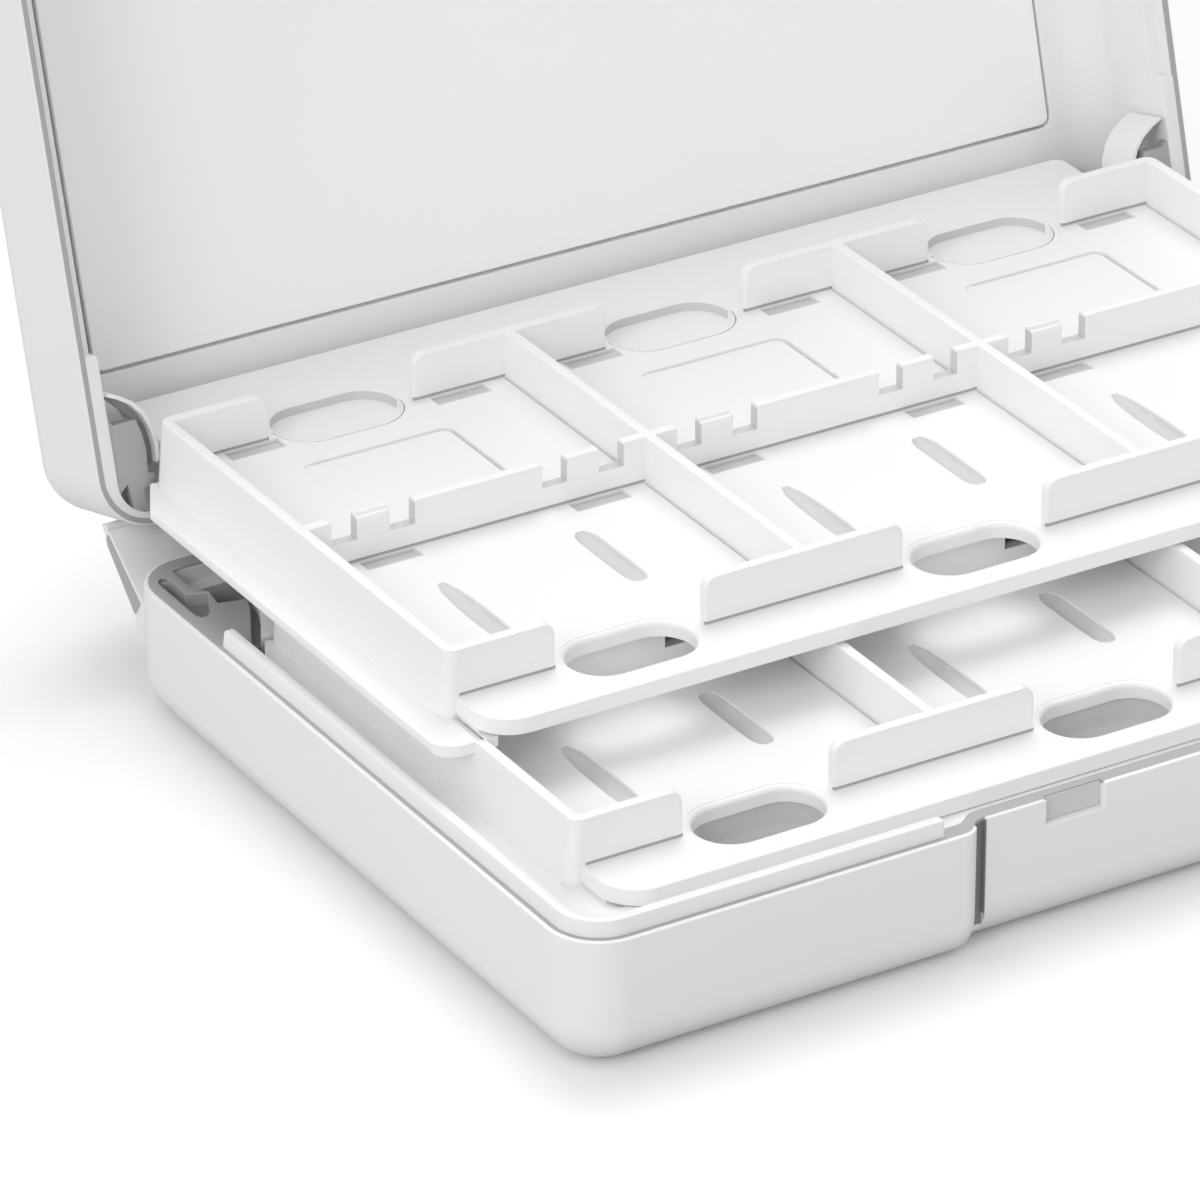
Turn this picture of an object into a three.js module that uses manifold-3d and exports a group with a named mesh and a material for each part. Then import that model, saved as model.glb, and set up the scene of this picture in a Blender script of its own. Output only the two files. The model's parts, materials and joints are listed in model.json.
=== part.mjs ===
// Game card case: a base and a lid joined by a folding strap, with two trays in steps.
// Millimetres, +Z up. Origin at the middle of the base's underside, X to the right, Y to the rear.
// The case stands open: the lid leans back and the upper tray is slid to the rear.
import * as THREE from 'three';
import { mergeVertices } from 'three/addons/utils/BufferGeometryUtils.js';
import Module from 'manifold-3d';

const wasm = await Module();
wasm.setup();

// Clearance between neighbouring pieces
const GAP = 0.3;
// Overlap that joins two shapes of one piece, and overrun of a cut past its face
const JOIN = 0.2;
const OVERCUT = 1.0;

// Tray: columns of card pockets, in a front row and a rear row
const COLUMNS = 3;
const POCKET_WIDTH = 33.3;
const POCKET_HEIGHT = 4.4;
const FRONT_POCKET_DEPTH = 23.9;
const REAR_POCKET_DEPTH = 22.7;
const TRAY_WALL = 1.1;
const TRAY_FLOOR = 1.5;
const FRONT_APRON = 6.0;
const REAR_APRON = 11.6;
const REAR_APRON_SIDE_INSET = 2.15;
const APRON_CORNER_RADIUS = 4.0;

// Tray flange that carries the tray at its two sides
const SIDE_DRAFT = 0.45;
const FLANGE_ROOT = 0.6;
const FLANGE_SLOPE_WIDTH = 1.0;
const FLANGE_SLOPE_HEIGHT = 1.2;
const FLANGE_WIDTH = 1.8;
const FLANGE_THICKNESS = 1.0;
const FLANGE_FRONT_REACH = 4.0;

// Finger gaps and finger cut-outs at the front and rear of each column
const FINGER_GAP = 14.6;
const TAB_RADIUS = 1.8;
const FINGER_HOLE_WIDTH = 12.4;
const FINGER_HOLE_DEPTH = 7.0;
const REAR_FINGER_POCKET = 0.8;

// Recesses for small memory cards
const RECESS_WIDTH = 15.2;
const RECESS_DEPTH = 11.2;
const RECESS_SINK = 0.5;
const RECESS_RADIUS = 1.0;
const DISH_WIDTH = 14.7;
const DISH_DEPTH = 10.4;
const DISH_FROM_WALL = 5.9;

// Spring tabs of the middle wall
const NOTCH_WIDTH = 2.6;
const NOTCH_DROP = 2.3;
const TAB_WIDTH = 3.2;
const TAB_FROM_CENTRE = 10.4;
const TAB_LOWERED = 0.5;
const WINDOW_WIDTH = 5.5;
const WINDOW_DEPTH = 1.7;

// Base shell
const BASE_HEIGHT = 12.4;
const CASE_WALL = 2.0;
const BASE_FLOOR = 1.6;
const LEDGE_WIDTH = 1.0;
const LIP_HEIGHT = 1.5;
const LIP_REAR_MARGIN = 16.3;
const SHELF_DROP = 1.7;
const SHELF_WIDTH = 1.5;
const EDGE_RADIUS = 4.0;
const CORNER_RADIUS = 5.0;
const TRAY_FRONT_ROOM = 1.9;
const TRAY_REAR_ROOM = 3.2;

// Thumb recess and latches at the front
const THUMB_WIDTH = 38.0;
const THUMB_SINK = 1.5;
const THUMB_LIP_MARGIN = 3.0;
const LATCH_SPACING = 17.2;
const LATCH_WIDTH = 5.7;
const LATCH_HEIGHT = 2.4;
const LATCH_POCKET_DEPTH = 1.0;
const TONGUE_THICKNESS = 0.9;

// Corner blocks of the base and corner plates of the lid
const BLOCK_BULGE = 4.3;
const BLOCK_NECK = 2.9;
const BLOCK_SLOT = 1.4;
const BLOCK_SLOT_LENGTH = 7.6;
const BLOCK_REAR_ROOM = 1.0;
const PLATE_LENGTH = 7.3;
const PLATE_REAR_ROOM = 3.0;
const PLATE_WIDTH = 2.1;
const PLATE_THICKNESS = 1.5;
const PLATE_SLOT = 0.8;
const PLATE_SLOT_LENGTH = 2.0;

// Lid shell and its window
const CEILING = 1.7;
const LID_FILLET = 4.0;
// Front and rear walls are thinner, so that the rear one swings clear of the upper tray
const LID_END_WALL = 1.2;
// Parting line between the closed lid and the base
const SEAM = 0.1;
const WINDOW_FRAME_SIDE = 4.9;
const WINDOW_FRAME_END = 9.3;
const WINDOW_SEAT = 2.0;
const WINDOW_PANEL = 0.7;

// Folding strap behind the case, and the pose that the case stands in
const STRAP_LENGTH = 7.8;
const STRAP_THICKNESS = 1.8;
const STRAP_SIDE_INSET = 0.7;
const STRAP_RADIUS = 0.7;
const HINGE_OFFSET = 0.2;
const STRAP_OPEN_TURN = 53;
const LID_OPEN_TURN = 53;
const TRAY_TRAVEL = 20.2;

// Tray sizes that follow
const PITCH = POCKET_WIDTH + TRAY_WALL;
const TRAY_HALF = (COLUMNS * PITCH + TRAY_WALL) / 2;
const TRAY_FRONT = -FRONT_POCKET_DEPTH - TRAY_WALL;
const TRAY_REAR = TRAY_WALL + REAR_POCKET_DEPTH + TRAY_WALL;
const FLOOR_BOTTOM = -POCKET_HEIGHT - TRAY_FLOOR;
const FLANGE_TOP = -POCKET_HEIGHT - FLANGE_ROOT - FLANGE_SLOPE_HEIGHT;
const FLANGE_BOTTOM = FLANGE_TOP - FLANGE_THICKNESS;
const SKIRT_INNER = TRAY_HALF + SIDE_DRAFT;
const FLANGE_HALF = SKIRT_INNER + FLANGE_SLOPE_WIDTH + FLANGE_WIDTH;
const APRON_FRONT = TRAY_FRONT - FRONT_APRON;
const APRON_REAR = TRAY_REAR + REAR_APRON;

// Case sizes that follow from the trays
const INNER_HALF_X = FLANGE_HALF + GAP;
const HALF_X = INNER_HALF_X + CASE_WALL;
const INNER_DEPTH = TRAY_FRONT_ROOM + (APRON_REAR - APRON_FRONT) + TRAY_REAR_ROOM;
const INNER_HALF_Y = INNER_DEPTH / 2;
const HALF_Y = INNER_HALF_Y + CASE_WALL;
const SHELF_Z = BASE_HEIGHT - SHELF_DROP;
const LOWER_TRAY_Y = -INNER_HALF_Y + TRAY_FRONT_ROOM - APRON_FRONT;
const LOWER_TRAY_Z = SHELF_Z + GAP - FLANGE_BOTTOM;
const UPPER_TRAY_Y = LOWER_TRAY_Y + TRAY_TRAVEL;
const UPPER_TRAY_Z = LOWER_TRAY_Z + GAP - FLOOR_BOTTOM;
const CEILING_Z = UPPER_TRAY_Z + GAP;
const LID_TOP = CEILING_Z + CEILING;
const LIP_REAR = HALF_Y - LIP_REAR_MARGIN;
const HINGE_Y = HALF_Y + HINGE_OFFSET;
const HINGE_Z = BASE_HEIGHT - STRAP_LENGTH / 2;

// Turns a closed geometry into a solid for joining and cutting
function solid(geometry) {
  const bare = geometry.clone();
  bare.deleteAttribute('normal');
  bare.deleteAttribute('uv');
  const merged = mergeVertices(bare);
  return new wasm.Manifold(new wasm.Mesh({
    numProp: 3,
    vertProperties: new Float32Array(merged.attributes.position.array),
    triVerts: new Uint32Array(merged.index.array),
  }));
}

function join(first, ...others) {
  return others.reduce((sum, other) => sum.add(other), first);
}

function cut(first, ...others) {
  return others.reduce((rest, other) => rest.subtract(other), first);
}

// Box between two corners
function box(x0, x1, y0, y1, z0, z1) {
  const geometry = new THREE.BoxGeometry(x1 - x0, y1 - y0, z1 - z0);
  geometry.translate((x0 + x1) / 2, (y0 + y1) / 2, (z0 + z1) / 2);
  return solid(geometry);
}

// Rectangle with round corners, between two corners of the plane
function roundRect(x0, x1, y0, y1, radius) {
  const shape = new THREE.Shape();
  const quarter = Math.PI / 2;
  shape.moveTo(x0 + radius, y0);
  shape.lineTo(x1 - radius, y0);
  shape.absarc(x1 - radius, y0 + radius, radius, -quarter, 0);
  shape.lineTo(x1, y1 - radius);
  shape.absarc(x1 - radius, y1 - radius, radius, 0, quarter);
  shape.lineTo(x0 + radius, y1);
  shape.absarc(x0 + radius, y1 - radius, radius, quarter, 2 * quarter);
  shape.lineTo(x0, y0 + radius);
  shape.absarc(x0 + radius, y0 + radius, radius, 2 * quarter, 3 * quarter);
  return shape;
}

function polygon(points) {
  return new THREE.Shape(points.map(([x, y]) => new THREE.Vector2(x, y)));
}

// Prism of a shape drawn in plan
function prismZ(shape, z0, z1, curveSegments = 5) {
  const geometry = new THREE.ExtrudeGeometry(shape, { depth: z1 - z0, bevelEnabled: false, curveSegments });
  geometry.translate(0, 0, z0);
  return solid(geometry);
}

// Prism of a shape drawn in X and Z, running along Y
function prismY(shape, y0, y1, curveSegments = 4) {
  const geometry = new THREE.ExtrudeGeometry(shape, { depth: y1 - y0, bevelEnabled: false, curveSegments });
  geometry.rotateX(Math.PI / 2);
  geometry.translate(0, y1, 0);
  return solid(geometry);
}

// Prism of a shape drawn in Y and Z, running along X
function prismX(shape, x0, x1, curveSegments = 4) {
  const geometry = new THREE.ExtrudeGeometry(shape, { depth: x1 - x0, bevelEnabled: false, curveSegments });
  const turn = new THREE.Matrix4().makeBasis(
    new THREE.Vector3(0, 1, 0),
    new THREE.Vector3(0, 0, 1),
    new THREE.Vector3(1, 0, 0),
  );
  geometry.applyMatrix4(turn);
  geometry.translate(x0, 0, 0);
  return solid(geometry);
}

// Tub with round corners in plan whose edges at both ends are rounded
function pillow(halfX, halfY, z0, z1, cornerRadius, edgeRadius) {
  const innerRadius = Math.max(cornerRadius - edgeRadius, 0.5);
  const shape = roundRect(
    -halfX + edgeRadius,
    halfX - edgeRadius,
    -halfY + edgeRadius,
    halfY - edgeRadius,
    innerRadius,
  );
  const geometry = new THREE.ExtrudeGeometry(shape, {
    depth: z1 - z0 - 2 * edgeRadius,
    bevelEnabled: true,
    bevelThickness: edgeRadius,
    bevelSize: edgeRadius,
    bevelSegments: 4,
    curveSegments: 5,
  });
  geometry.translate(0, 0, z0 + edgeRadius);
  return solid(geometry);
}

function columnCentres() {
  return Array.from({ length: COLUMNS }, (_, i) => (i - (COLUMNS - 1) / 2) * PITCH);
}

// Wall across the tray with a finger gap in each column, its tabs rounded at the top
function gappedWall(y0, y1) {
  const tabs = [];
  for (const centre of columnCentres()) {
    for (const side of [-1, 1]) {
      const inner = centre + side * FINGER_GAP / 2;
      const outer = centre + side * (PITCH / 2 + TRAY_WALL / 2 - JOIN);
      const tab = roundRect(
        Math.min(inner, outer),
        Math.max(inner, outer),
        -POCKET_HEIGHT - TAB_RADIUS - JOIN,
        0,
        TAB_RADIUS,
      );
      const square = box(
        Math.min(outer, outer - side * TAB_RADIUS * 2),
        Math.max(outer, outer - side * TAB_RADIUS * 2),
        y0,
        y1,
        -POCKET_HEIGHT - JOIN,
        0,
      );
      const foot = box(-HALF_X, HALF_X, y0 - OVERCUT, y1 + OVERCUT, -HALF_X, -POCKET_HEIGHT - JOIN);
      tabs.push(cut(join(prismY(tab, y0, y1), square), foot));
    }
  }
  return join(...tabs);
}

// Side wall with its draft, and the flange that it stands on, for the right side
function sideWall() {
  const inner = TRAY_HALF - TRAY_WALL;
  const wall = polygon([
    [inner, 0],
    [inner, FLOOR_BOTTOM],
    [SKIRT_INNER, FLOOR_BOTTOM],
    [SKIRT_INNER, -POCKET_HEIGHT - FLANGE_ROOT],
    [TRAY_HALF, 0],
  ].reverse());
  const flange = polygon([
    [TRAY_HALF - TRAY_WALL, FLOOR_BOTTOM],
    [SKIRT_INNER, FLOOR_BOTTOM],
    [SKIRT_INNER, FLANGE_BOTTOM],
    [FLANGE_HALF, FLANGE_BOTTOM],
    [FLANGE_HALF, FLANGE_TOP],
    [SKIRT_INNER + FLANGE_SLOPE_WIDTH, FLANGE_TOP],
    [SKIRT_INNER, -POCKET_HEIGHT - FLANGE_ROOT],
    [TRAY_HALF - TRAY_WALL, -POCKET_HEIGHT - FLANGE_ROOT],
  ]);
  const flangeFront = TRAY_FRONT - FLANGE_FRONT_REACH;
  const outline = roundRect(
    0,
    FLANGE_HALF,
    flangeFront,
    TRAY_REAR + APRON_CORNER_RADIUS,
    APRON_CORNER_RADIUS,
  );
  const run = prismY(flange, flangeFront, TRAY_REAR);
  const rounded = run.intersect(prismZ(outline, FLANGE_BOTTOM - OVERCUT, OVERCUT));
  return join(prismY(wall, TRAY_FRONT, TRAY_REAR), rounded);
}

function mirrorX(item) {
  return item.mirror([1, 0, 0]);
}

// Tray with its origin at the top of the middle wall's front face
function makeTray() {
  const apron = roundRect(
    -SKIRT_INNER,
    SKIRT_INNER,
    APRON_FRONT,
    TRAY_FRONT + APRON_CORNER_RADIUS * 2,
    APRON_CORNER_RADIUS,
  );
  const rearHalf = TRAY_HALF - REAR_APRON_SIDE_INSET;
  const right = sideWall();
  let tray = join(
    box(-TRAY_HALF, TRAY_HALF, TRAY_FRONT, TRAY_REAR, FLOOR_BOTTOM, -POCKET_HEIGHT),
    prismZ(apron, FLOOR_BOTTOM, -POCKET_HEIGHT),
    box(-rearHalf, rearHalf, TRAY_REAR - JOIN, APRON_REAR, FLOOR_BOTTOM, -POCKET_HEIGHT),
    right,
    mirrorX(right),
    box(-TRAY_HALF, TRAY_HALF, 0, TRAY_WALL, -POCKET_HEIGHT - JOIN, 0),
    gappedWall(TRAY_FRONT, TRAY_FRONT + TRAY_WALL),
    gappedWall(TRAY_REAR - TRAY_WALL, TRAY_REAR),
  );
  for (let i = 1; i < COLUMNS; i += 1) {
    const x = (i - COLUMNS / 2) * PITCH;
    tray = tray.add(box(
      x - TRAY_WALL / 2,
      x + TRAY_WALL / 2,
      TRAY_FRONT,
      TRAY_REAR,
      -POCKET_HEIGHT - JOIN,
      0,
    ));
  }
  return cut(tray, ...columnCentres().flatMap(pocketCuts));
}

// Finger cut-outs, recesses, notches and windows of one column
function pocketCuts(centre) {
  const halfHole = FINGER_HOLE_WIDTH / 2;
  const holeRadius = FINGER_HOLE_DEPTH / 2 - JOIN / 10;
  const fingerHole = (y) => roundRect(
    centre - halfHole,
    centre + halfHole,
    y - FINGER_HOLE_DEPTH / 2,
    y + FINGER_HOLE_DEPTH / 2,
    holeRadius,
  );
  const floorTop = -POCKET_HEIGHT + OVERCUT;
  const recessMiddle = TRAY_WALL + REAR_POCKET_DEPTH / 2;
  const recess = roundRect(
    centre - RECESS_WIDTH / 2,
    centre + RECESS_WIDTH / 2,
    recessMiddle - RECESS_DEPTH / 2,
    recessMiddle + RECESS_DEPTH / 2,
    RECESS_RADIUS,
  );
  const dish = roundRect(
    centre - DISH_WIDTH / 2,
    centre + DISH_WIDTH / 2,
    -DISH_FROM_WALL - DISH_DEPTH,
    -DISH_FROM_WALL,
    RECESS_RADIUS,
  );
  const cuts = [
    prismZ(fingerHole(TRAY_FRONT), FLOOR_BOTTOM - OVERCUT, floorTop, 5),
    prismZ(fingerHole(TRAY_REAR), -POCKET_HEIGHT - REAR_FINGER_POCKET, floorTop, 5),
    prismZ(recess, -POCKET_HEIGHT - RECESS_SINK, floorTop, 2),
    prismZ(dish, -POCKET_HEIGHT - RECESS_SINK, floorTop, 2),
  ];
  for (const side of [-1, 1]) {
    const tab = centre + side * TAB_FROM_CENTRE;
    for (const edge of [-1, 1]) {
      const notch = tab + edge * (TAB_WIDTH + NOTCH_WIDTH) / 2;
      cuts.push(box(
        notch - NOTCH_WIDTH / 2,
        notch + NOTCH_WIDTH / 2,
        -OVERCUT,
        TRAY_WALL + OVERCUT,
        -NOTCH_DROP,
        OVERCUT,
      ));
    }
    cuts.push(box(
      tab - TAB_WIDTH / 2 - JOIN,
      tab + TAB_WIDTH / 2 + JOIN,
      -OVERCUT,
      TRAY_WALL + OVERCUT,
      -TAB_LOWERED,
      OVERCUT,
    ));
    for (const y of [-JOIN, TRAY_REAR - TRAY_WALL - JOIN]) {
      cuts.push(box(
        tab - WINDOW_WIDTH / 2,
        tab + WINDOW_WIDTH / 2,
        y - WINDOW_DEPTH,
        y,
        FLOOR_BOTTOM - OVERCUT,
        floorTop,
      ));
    }
  }
  return cuts;
}

// Base shell: rounded tub, stepped inside for the tray, with a lip around its front part
function makeBase() {
  const tub = pillow(HALF_X, HALF_Y, 0, BASE_HEIGHT * 2 + EDGE_RADIUS * 2, CORNER_RADIUS, EDGE_RADIUS);
  const lipInset = LEDGE_WIDTH;
  const inside = roundRect(
    -INNER_HALF_X,
    INNER_HALF_X,
    -INNER_HALF_Y,
    INNER_HALF_Y,
    CORNER_RADIUS - CASE_WALL,
  );
  const shelfHalfX = INNER_HALF_X - SHELF_WIDTH;
  const shelfHalfY = INNER_HALF_Y - SHELF_WIDTH;
  const shelfRadius = Math.max(CORNER_RADIUS - CASE_WALL - SHELF_WIDTH, 0.5);
  const well = roundRect(-shelfHalfX, shelfHalfX, -shelfHalfY, shelfHalfY, shelfRadius);
  const lipOutline = roundRect(
    -HALF_X + lipInset,
    HALF_X - lipInset,
    -HALF_Y + lipInset,
    HALF_Y - lipInset,
    CORNER_RADIUS - lipInset,
  );
  const thumbHalf = THUMB_WIDTH / 2;
  const lipGap = thumbHalf + THUMB_LIP_MARGIN;
  const lipTop = BASE_HEIGHT + LIP_HEIGHT;
  const lip = cut(
    prismZ(lipOutline, SHELF_Z, lipTop),
    box(-HALF_X, HALF_X, LIP_REAR, HALF_Y, BASE_HEIGHT, lipTop + OVERCUT),
    box(-lipGap, lipGap, -HALF_Y, 0, BASE_HEIGHT, lipTop + OVERCUT),
  );
  const body = cut(tub, box(-HALF_X * 2, HALF_X * 2, -HALF_Y * 2, HALF_Y * 2, BASE_HEIGHT, HALF_X * 2));
  const recessedFace = -HALF_Y + THUMB_SINK;
  const backing = box(
    -thumbHalf - CASE_WALL,
    thumbHalf + CASE_WALL,
    -INNER_HALF_Y - JOIN,
    -INNER_HALF_Y + TRAY_FRONT_ROOM - GAP * 2,
    SHELF_Z - JOIN,
    BASE_HEIGHT,
  );
  const hollow = cut(
    join(body, lip),
    prismZ(inside, SHELF_Z, lipTop + OVERCUT),
    prismZ(well, BASE_FLOOR, SHELF_Z + OVERCUT),
  );
  const thumb = box(
    -thumbHalf,
    thumbHalf,
    -HALF_Y - OVERCUT,
    recessedFace,
    -OVERCUT,
    lipTop + OVERCUT,
  );
  const pockets = [-1, 1].map((side) => box(
    side * LATCH_SPACING / 2 - LATCH_WIDTH / 2,
    side * LATCH_SPACING / 2 + LATCH_WIDTH / 2,
    recessedFace - OVERCUT,
    recessedFace + LATCH_POCKET_DEPTH,
    BASE_HEIGHT - LATCH_HEIGHT,
    BASE_HEIGHT + OVERCUT,
  ));
  return cut(join(hollow, backing), thumb, ...pockets);
}

// Corner block on the base's shelf, left side, with a slot along the wall and a round bulge inwards
function makeCornerBlock() {
  const outer = -INNER_HALF_X + GAP;
  const front = LOWER_TRAY_Y + TRAY_REAR + GAP;
  const rear = INNER_HALF_Y - BLOCK_REAR_ROOM;
  const slotFront = rear - BLOCK_SLOT_LENGTH;
  const middle = (front + rear) / 2;
  const radius = (rear - front) / 2;
  const neck = outer + BLOCK_NECK;
  const bulge = BLOCK_BULGE - BLOCK_NECK;
  const outline = [
    [outer, front],
    [outer, slotFront],
    [outer + BLOCK_SLOT, slotFront],
    [outer + BLOCK_SLOT, rear],
    [neck, rear],
  ];
  const steps = 8;
  for (let i = 1; i <= steps; i += 1) {
    const angle = Math.PI * (1 - i / steps);
    outline.push([neck + bulge * Math.sin(angle), middle - radius * Math.cos(angle)]);
  }
  return prismZ(polygon(outline.reverse()), SHELF_Z + GAP, BASE_HEIGHT);
}

// Lid in its closed place: rounded shell with a filleted inside, a rebated rim and a framed window
function makeLid() {
  const shell = pillow(
    HALF_X,
    HALF_Y,
    BASE_HEIGHT * 2 - LID_TOP - EDGE_RADIUS * 2,
    LID_TOP,
    CORNER_RADIUS,
    EDGE_RADIUS,
  );
  const below = box(-HALF_X * 2, HALF_X * 2, -HALF_Y * 2, HALF_Y * 2, -HALF_X * 2, BASE_HEIGHT + SEAM);
  const inside = pillow(
    INNER_HALF_X,
    HALF_Y - LID_END_WALL,
    BASE_HEIGHT * 2 - CEILING_Z - LID_FILLET * 2,
    CEILING_Z,
    LID_FILLET + 0.5,
    LID_FILLET,
  );
  const rebateInset = LEDGE_WIDTH - GAP;
  const rebateOutline = roundRect(
    -HALF_X + rebateInset,
    HALF_X - rebateInset,
    -HALF_Y + rebateInset,
    HALF_Y - rebateInset,
    CORNER_RADIUS - rebateInset,
  );
  const rebateTop = BASE_HEIGHT + LIP_HEIGHT + GAP;
  const rebateRear = LIP_REAR + GAP;
  const keep = THUMB_WIDTH / 2 + THUMB_LIP_MARGIN - GAP;
  const rebate = cut(
    prismZ(rebateOutline, BASE_HEIGHT - OVERCUT, rebateTop),
    box(-HALF_X, HALF_X, rebateRear, HALF_Y, BASE_HEIGHT - OVERCUT * 2, rebateTop + OVERCUT),
    box(-keep, keep, -HALF_Y, 0, BASE_HEIGHT - OVERCUT * 2, rebateTop + OVERCUT),
  );
  const windowX = INNER_HALF_X - WINDOW_FRAME_SIDE;
  const windowY = INNER_HALF_Y - WINDOW_FRAME_END;
  const seat = box(-windowX, windowX, -windowY, windowY, CEILING_Z - OVERCUT, CEILING_Z + WINDOW_PANEL + GAP);
  const opening = box(
    -windowX + WINDOW_SEAT,
    windowX - WINDOW_SEAT,
    -windowY + WINDOW_SEAT,
    windowY - WINDOW_SEAT,
    CEILING_Z - OVERCUT,
    LID_TOP + OVERCUT,
  );
  return cut(shell, below, inside, rebate, seat, opening);
}

// Panel that lies in the lid's window seat
function makeWindow() {
  const halfX = INNER_HALF_X - WINDOW_FRAME_SIDE - GAP;
  const halfY = INNER_HALF_Y - WINDOW_FRAME_END - GAP;
  return prismZ(roundRect(-halfX, halfX, -halfY, halfY, 0.6), CEILING_Z, CEILING_Z + WINDOW_PANEL, 2);
}

// Corner plate just inside the lid's rim, left side, with a slot along the wall
function makeCornerPlate() {
  const outer = -INNER_HALF_X + GAP;
  const rear = INNER_HALF_Y - PLATE_REAR_ROOM;
  const front = rear - PLATE_LENGTH;
  const slotFront = rear - PLATE_SLOT_LENGTH;
  const middle = (front + slotFront) / 2;
  const radius = (slotFront - front) / 2;
  const outline = [
    [outer, front],
    [outer, slotFront],
    [outer + PLATE_SLOT, slotFront],
    [outer + PLATE_SLOT, rear],
    [outer + PLATE_WIDTH - PLATE_SLOT / 2, rear],
    [outer + PLATE_WIDTH, slotFront],
  ];
  const steps = 6;
  for (let i = 1; i <= steps; i += 1) {
    const angle = (Math.PI / 2) * (i / steps);
    const reach = Math.cos(angle) * (PLATE_WIDTH - PLATE_SLOT);
    outline.push([outer + PLATE_SLOT + reach, middle - (middle - front) * Math.sin(angle)]);
  }
  const bottom = BASE_HEIGHT + GAP;
  return prismZ(polygon(outline.reverse()), bottom, bottom + PLATE_THICKNESS);
}

// Latch tongue under the lid's front rim, in front of a latch pocket
function makeTongue(side) {
  const x = side * LATCH_SPACING / 2;
  const half = LATCH_WIDTH / 2 - GAP;
  const rear = -HALF_Y + THUMB_SINK - GAP;
  return box(
    x - half,
    x + half,
    rear - TONGUE_THICKNESS,
    rear,
    BASE_HEIGHT - LATCH_HEIGHT,
    BASE_HEIGHT + SEAM - GAP,
  );
}

// Strap in its closed place, standing behind the rear walls
function makeStrap() {
  const front = HALF_Y + GAP;
  const shape = roundRect(
    front,
    front + STRAP_THICKNESS,
    HINGE_Z + GAP / 2,
    HINGE_Z + STRAP_LENGTH - GAP / 2,
    STRAP_RADIUS,
  );
  const half = HALF_X - STRAP_SIDE_INSET;
  return prismX(shape, -half, half);
}

// Materials: white moulded plastic, with a blank panel in the lid
const shellPlastic = { color: 0xf0f0f0, roughness: 0.45, metalness: 0 };
const trayPlastic = { color: 0xf6f6f6, roughness: 0.5, metalness: 0 };
const panelPlastic = { color: 0xfdfdfd, roughness: 0.35, metalness: 0 };
const greyPlastic = { color: 0xd8d8d8, roughness: 0.5, metalness: 0 };

function mesh(name, item, look) {
  const data = item.getMesh();
  const geometry = new THREE.BufferGeometry();
  geometry.setAttribute('position', new THREE.BufferAttribute(new Float32Array(data.vertProperties), 3));
  geometry.setIndex(new THREE.BufferAttribute(new Uint32Array(data.triVerts), 1));
  geometry.computeVertexNormals();
  const made = new THREE.Mesh(geometry, new THREE.MeshStandardMaterial(look));
  made.name = name;
  return made;
}

// Assembly
const assembly = new THREE.Group();
assembly.add(mesh('base_shell', makeBase(), shellPlastic));
const block = makeCornerBlock();
assembly.add(mesh('base_corner_block_left', block, greyPlastic));
assembly.add(mesh('base_corner_block_right', mirrorX(block), greyPlastic));

const tray = makeTray();
const lowerTray = mesh('lower_tray', tray, trayPlastic);
lowerTray.position.set(0, LOWER_TRAY_Y, LOWER_TRAY_Z);
assembly.add(lowerTray);
const upperTray = mesh('upper_tray', tray, trayPlastic);
upperTray.position.set(0, UPPER_TRAY_Y, UPPER_TRAY_Z);
assembly.add(upperTray);

// The strap turns about the base's hinge line, and the lid about the strap's upper edge
const strapTurn = new THREE.Group();
strapTurn.position.set(0, HINGE_Y, HINGE_Z);
strapTurn.rotation.x = THREE.MathUtils.degToRad(-STRAP_OPEN_TURN);
const strapPlace = new THREE.Group();
strapPlace.position.set(0, -HINGE_Y, -HINGE_Z);
strapPlace.add(mesh('spine_strap', makeStrap(), shellPlastic));
strapTurn.add(strapPlace);

const lidTurn = new THREE.Group();
lidTurn.position.set(0, 0, STRAP_LENGTH);
lidTurn.rotation.x = THREE.MathUtils.degToRad(-LID_OPEN_TURN);
const lidPlace = new THREE.Group();
lidPlace.position.set(0, -HINGE_Y, -HINGE_Z - STRAP_LENGTH);
const plate = makeCornerPlate();
lidPlace.add(mesh('lid_shell', makeLid(), shellPlastic));
lidPlace.add(mesh('lid_window', makeWindow(), panelPlastic));
lidPlace.add(mesh('lid_corner_plate_left', plate, greyPlastic));
lidPlace.add(mesh('lid_corner_plate_right', mirrorX(plate), greyPlastic));
lidPlace.add(mesh('latch_tongue_left', makeTongue(-1), shellPlastic));
lidPlace.add(mesh('latch_tongue_right', makeTongue(1), shellPlastic));
lidTurn.add(lidPlace);
strapTurn.add(lidTurn);
assembly.add(strapTurn);

export default assembly;
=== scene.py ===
"""Visual model of a game card case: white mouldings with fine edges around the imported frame."""
import json
import math

import bmesh
import bpy
from mathutils import Matrix, Vector


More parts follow.
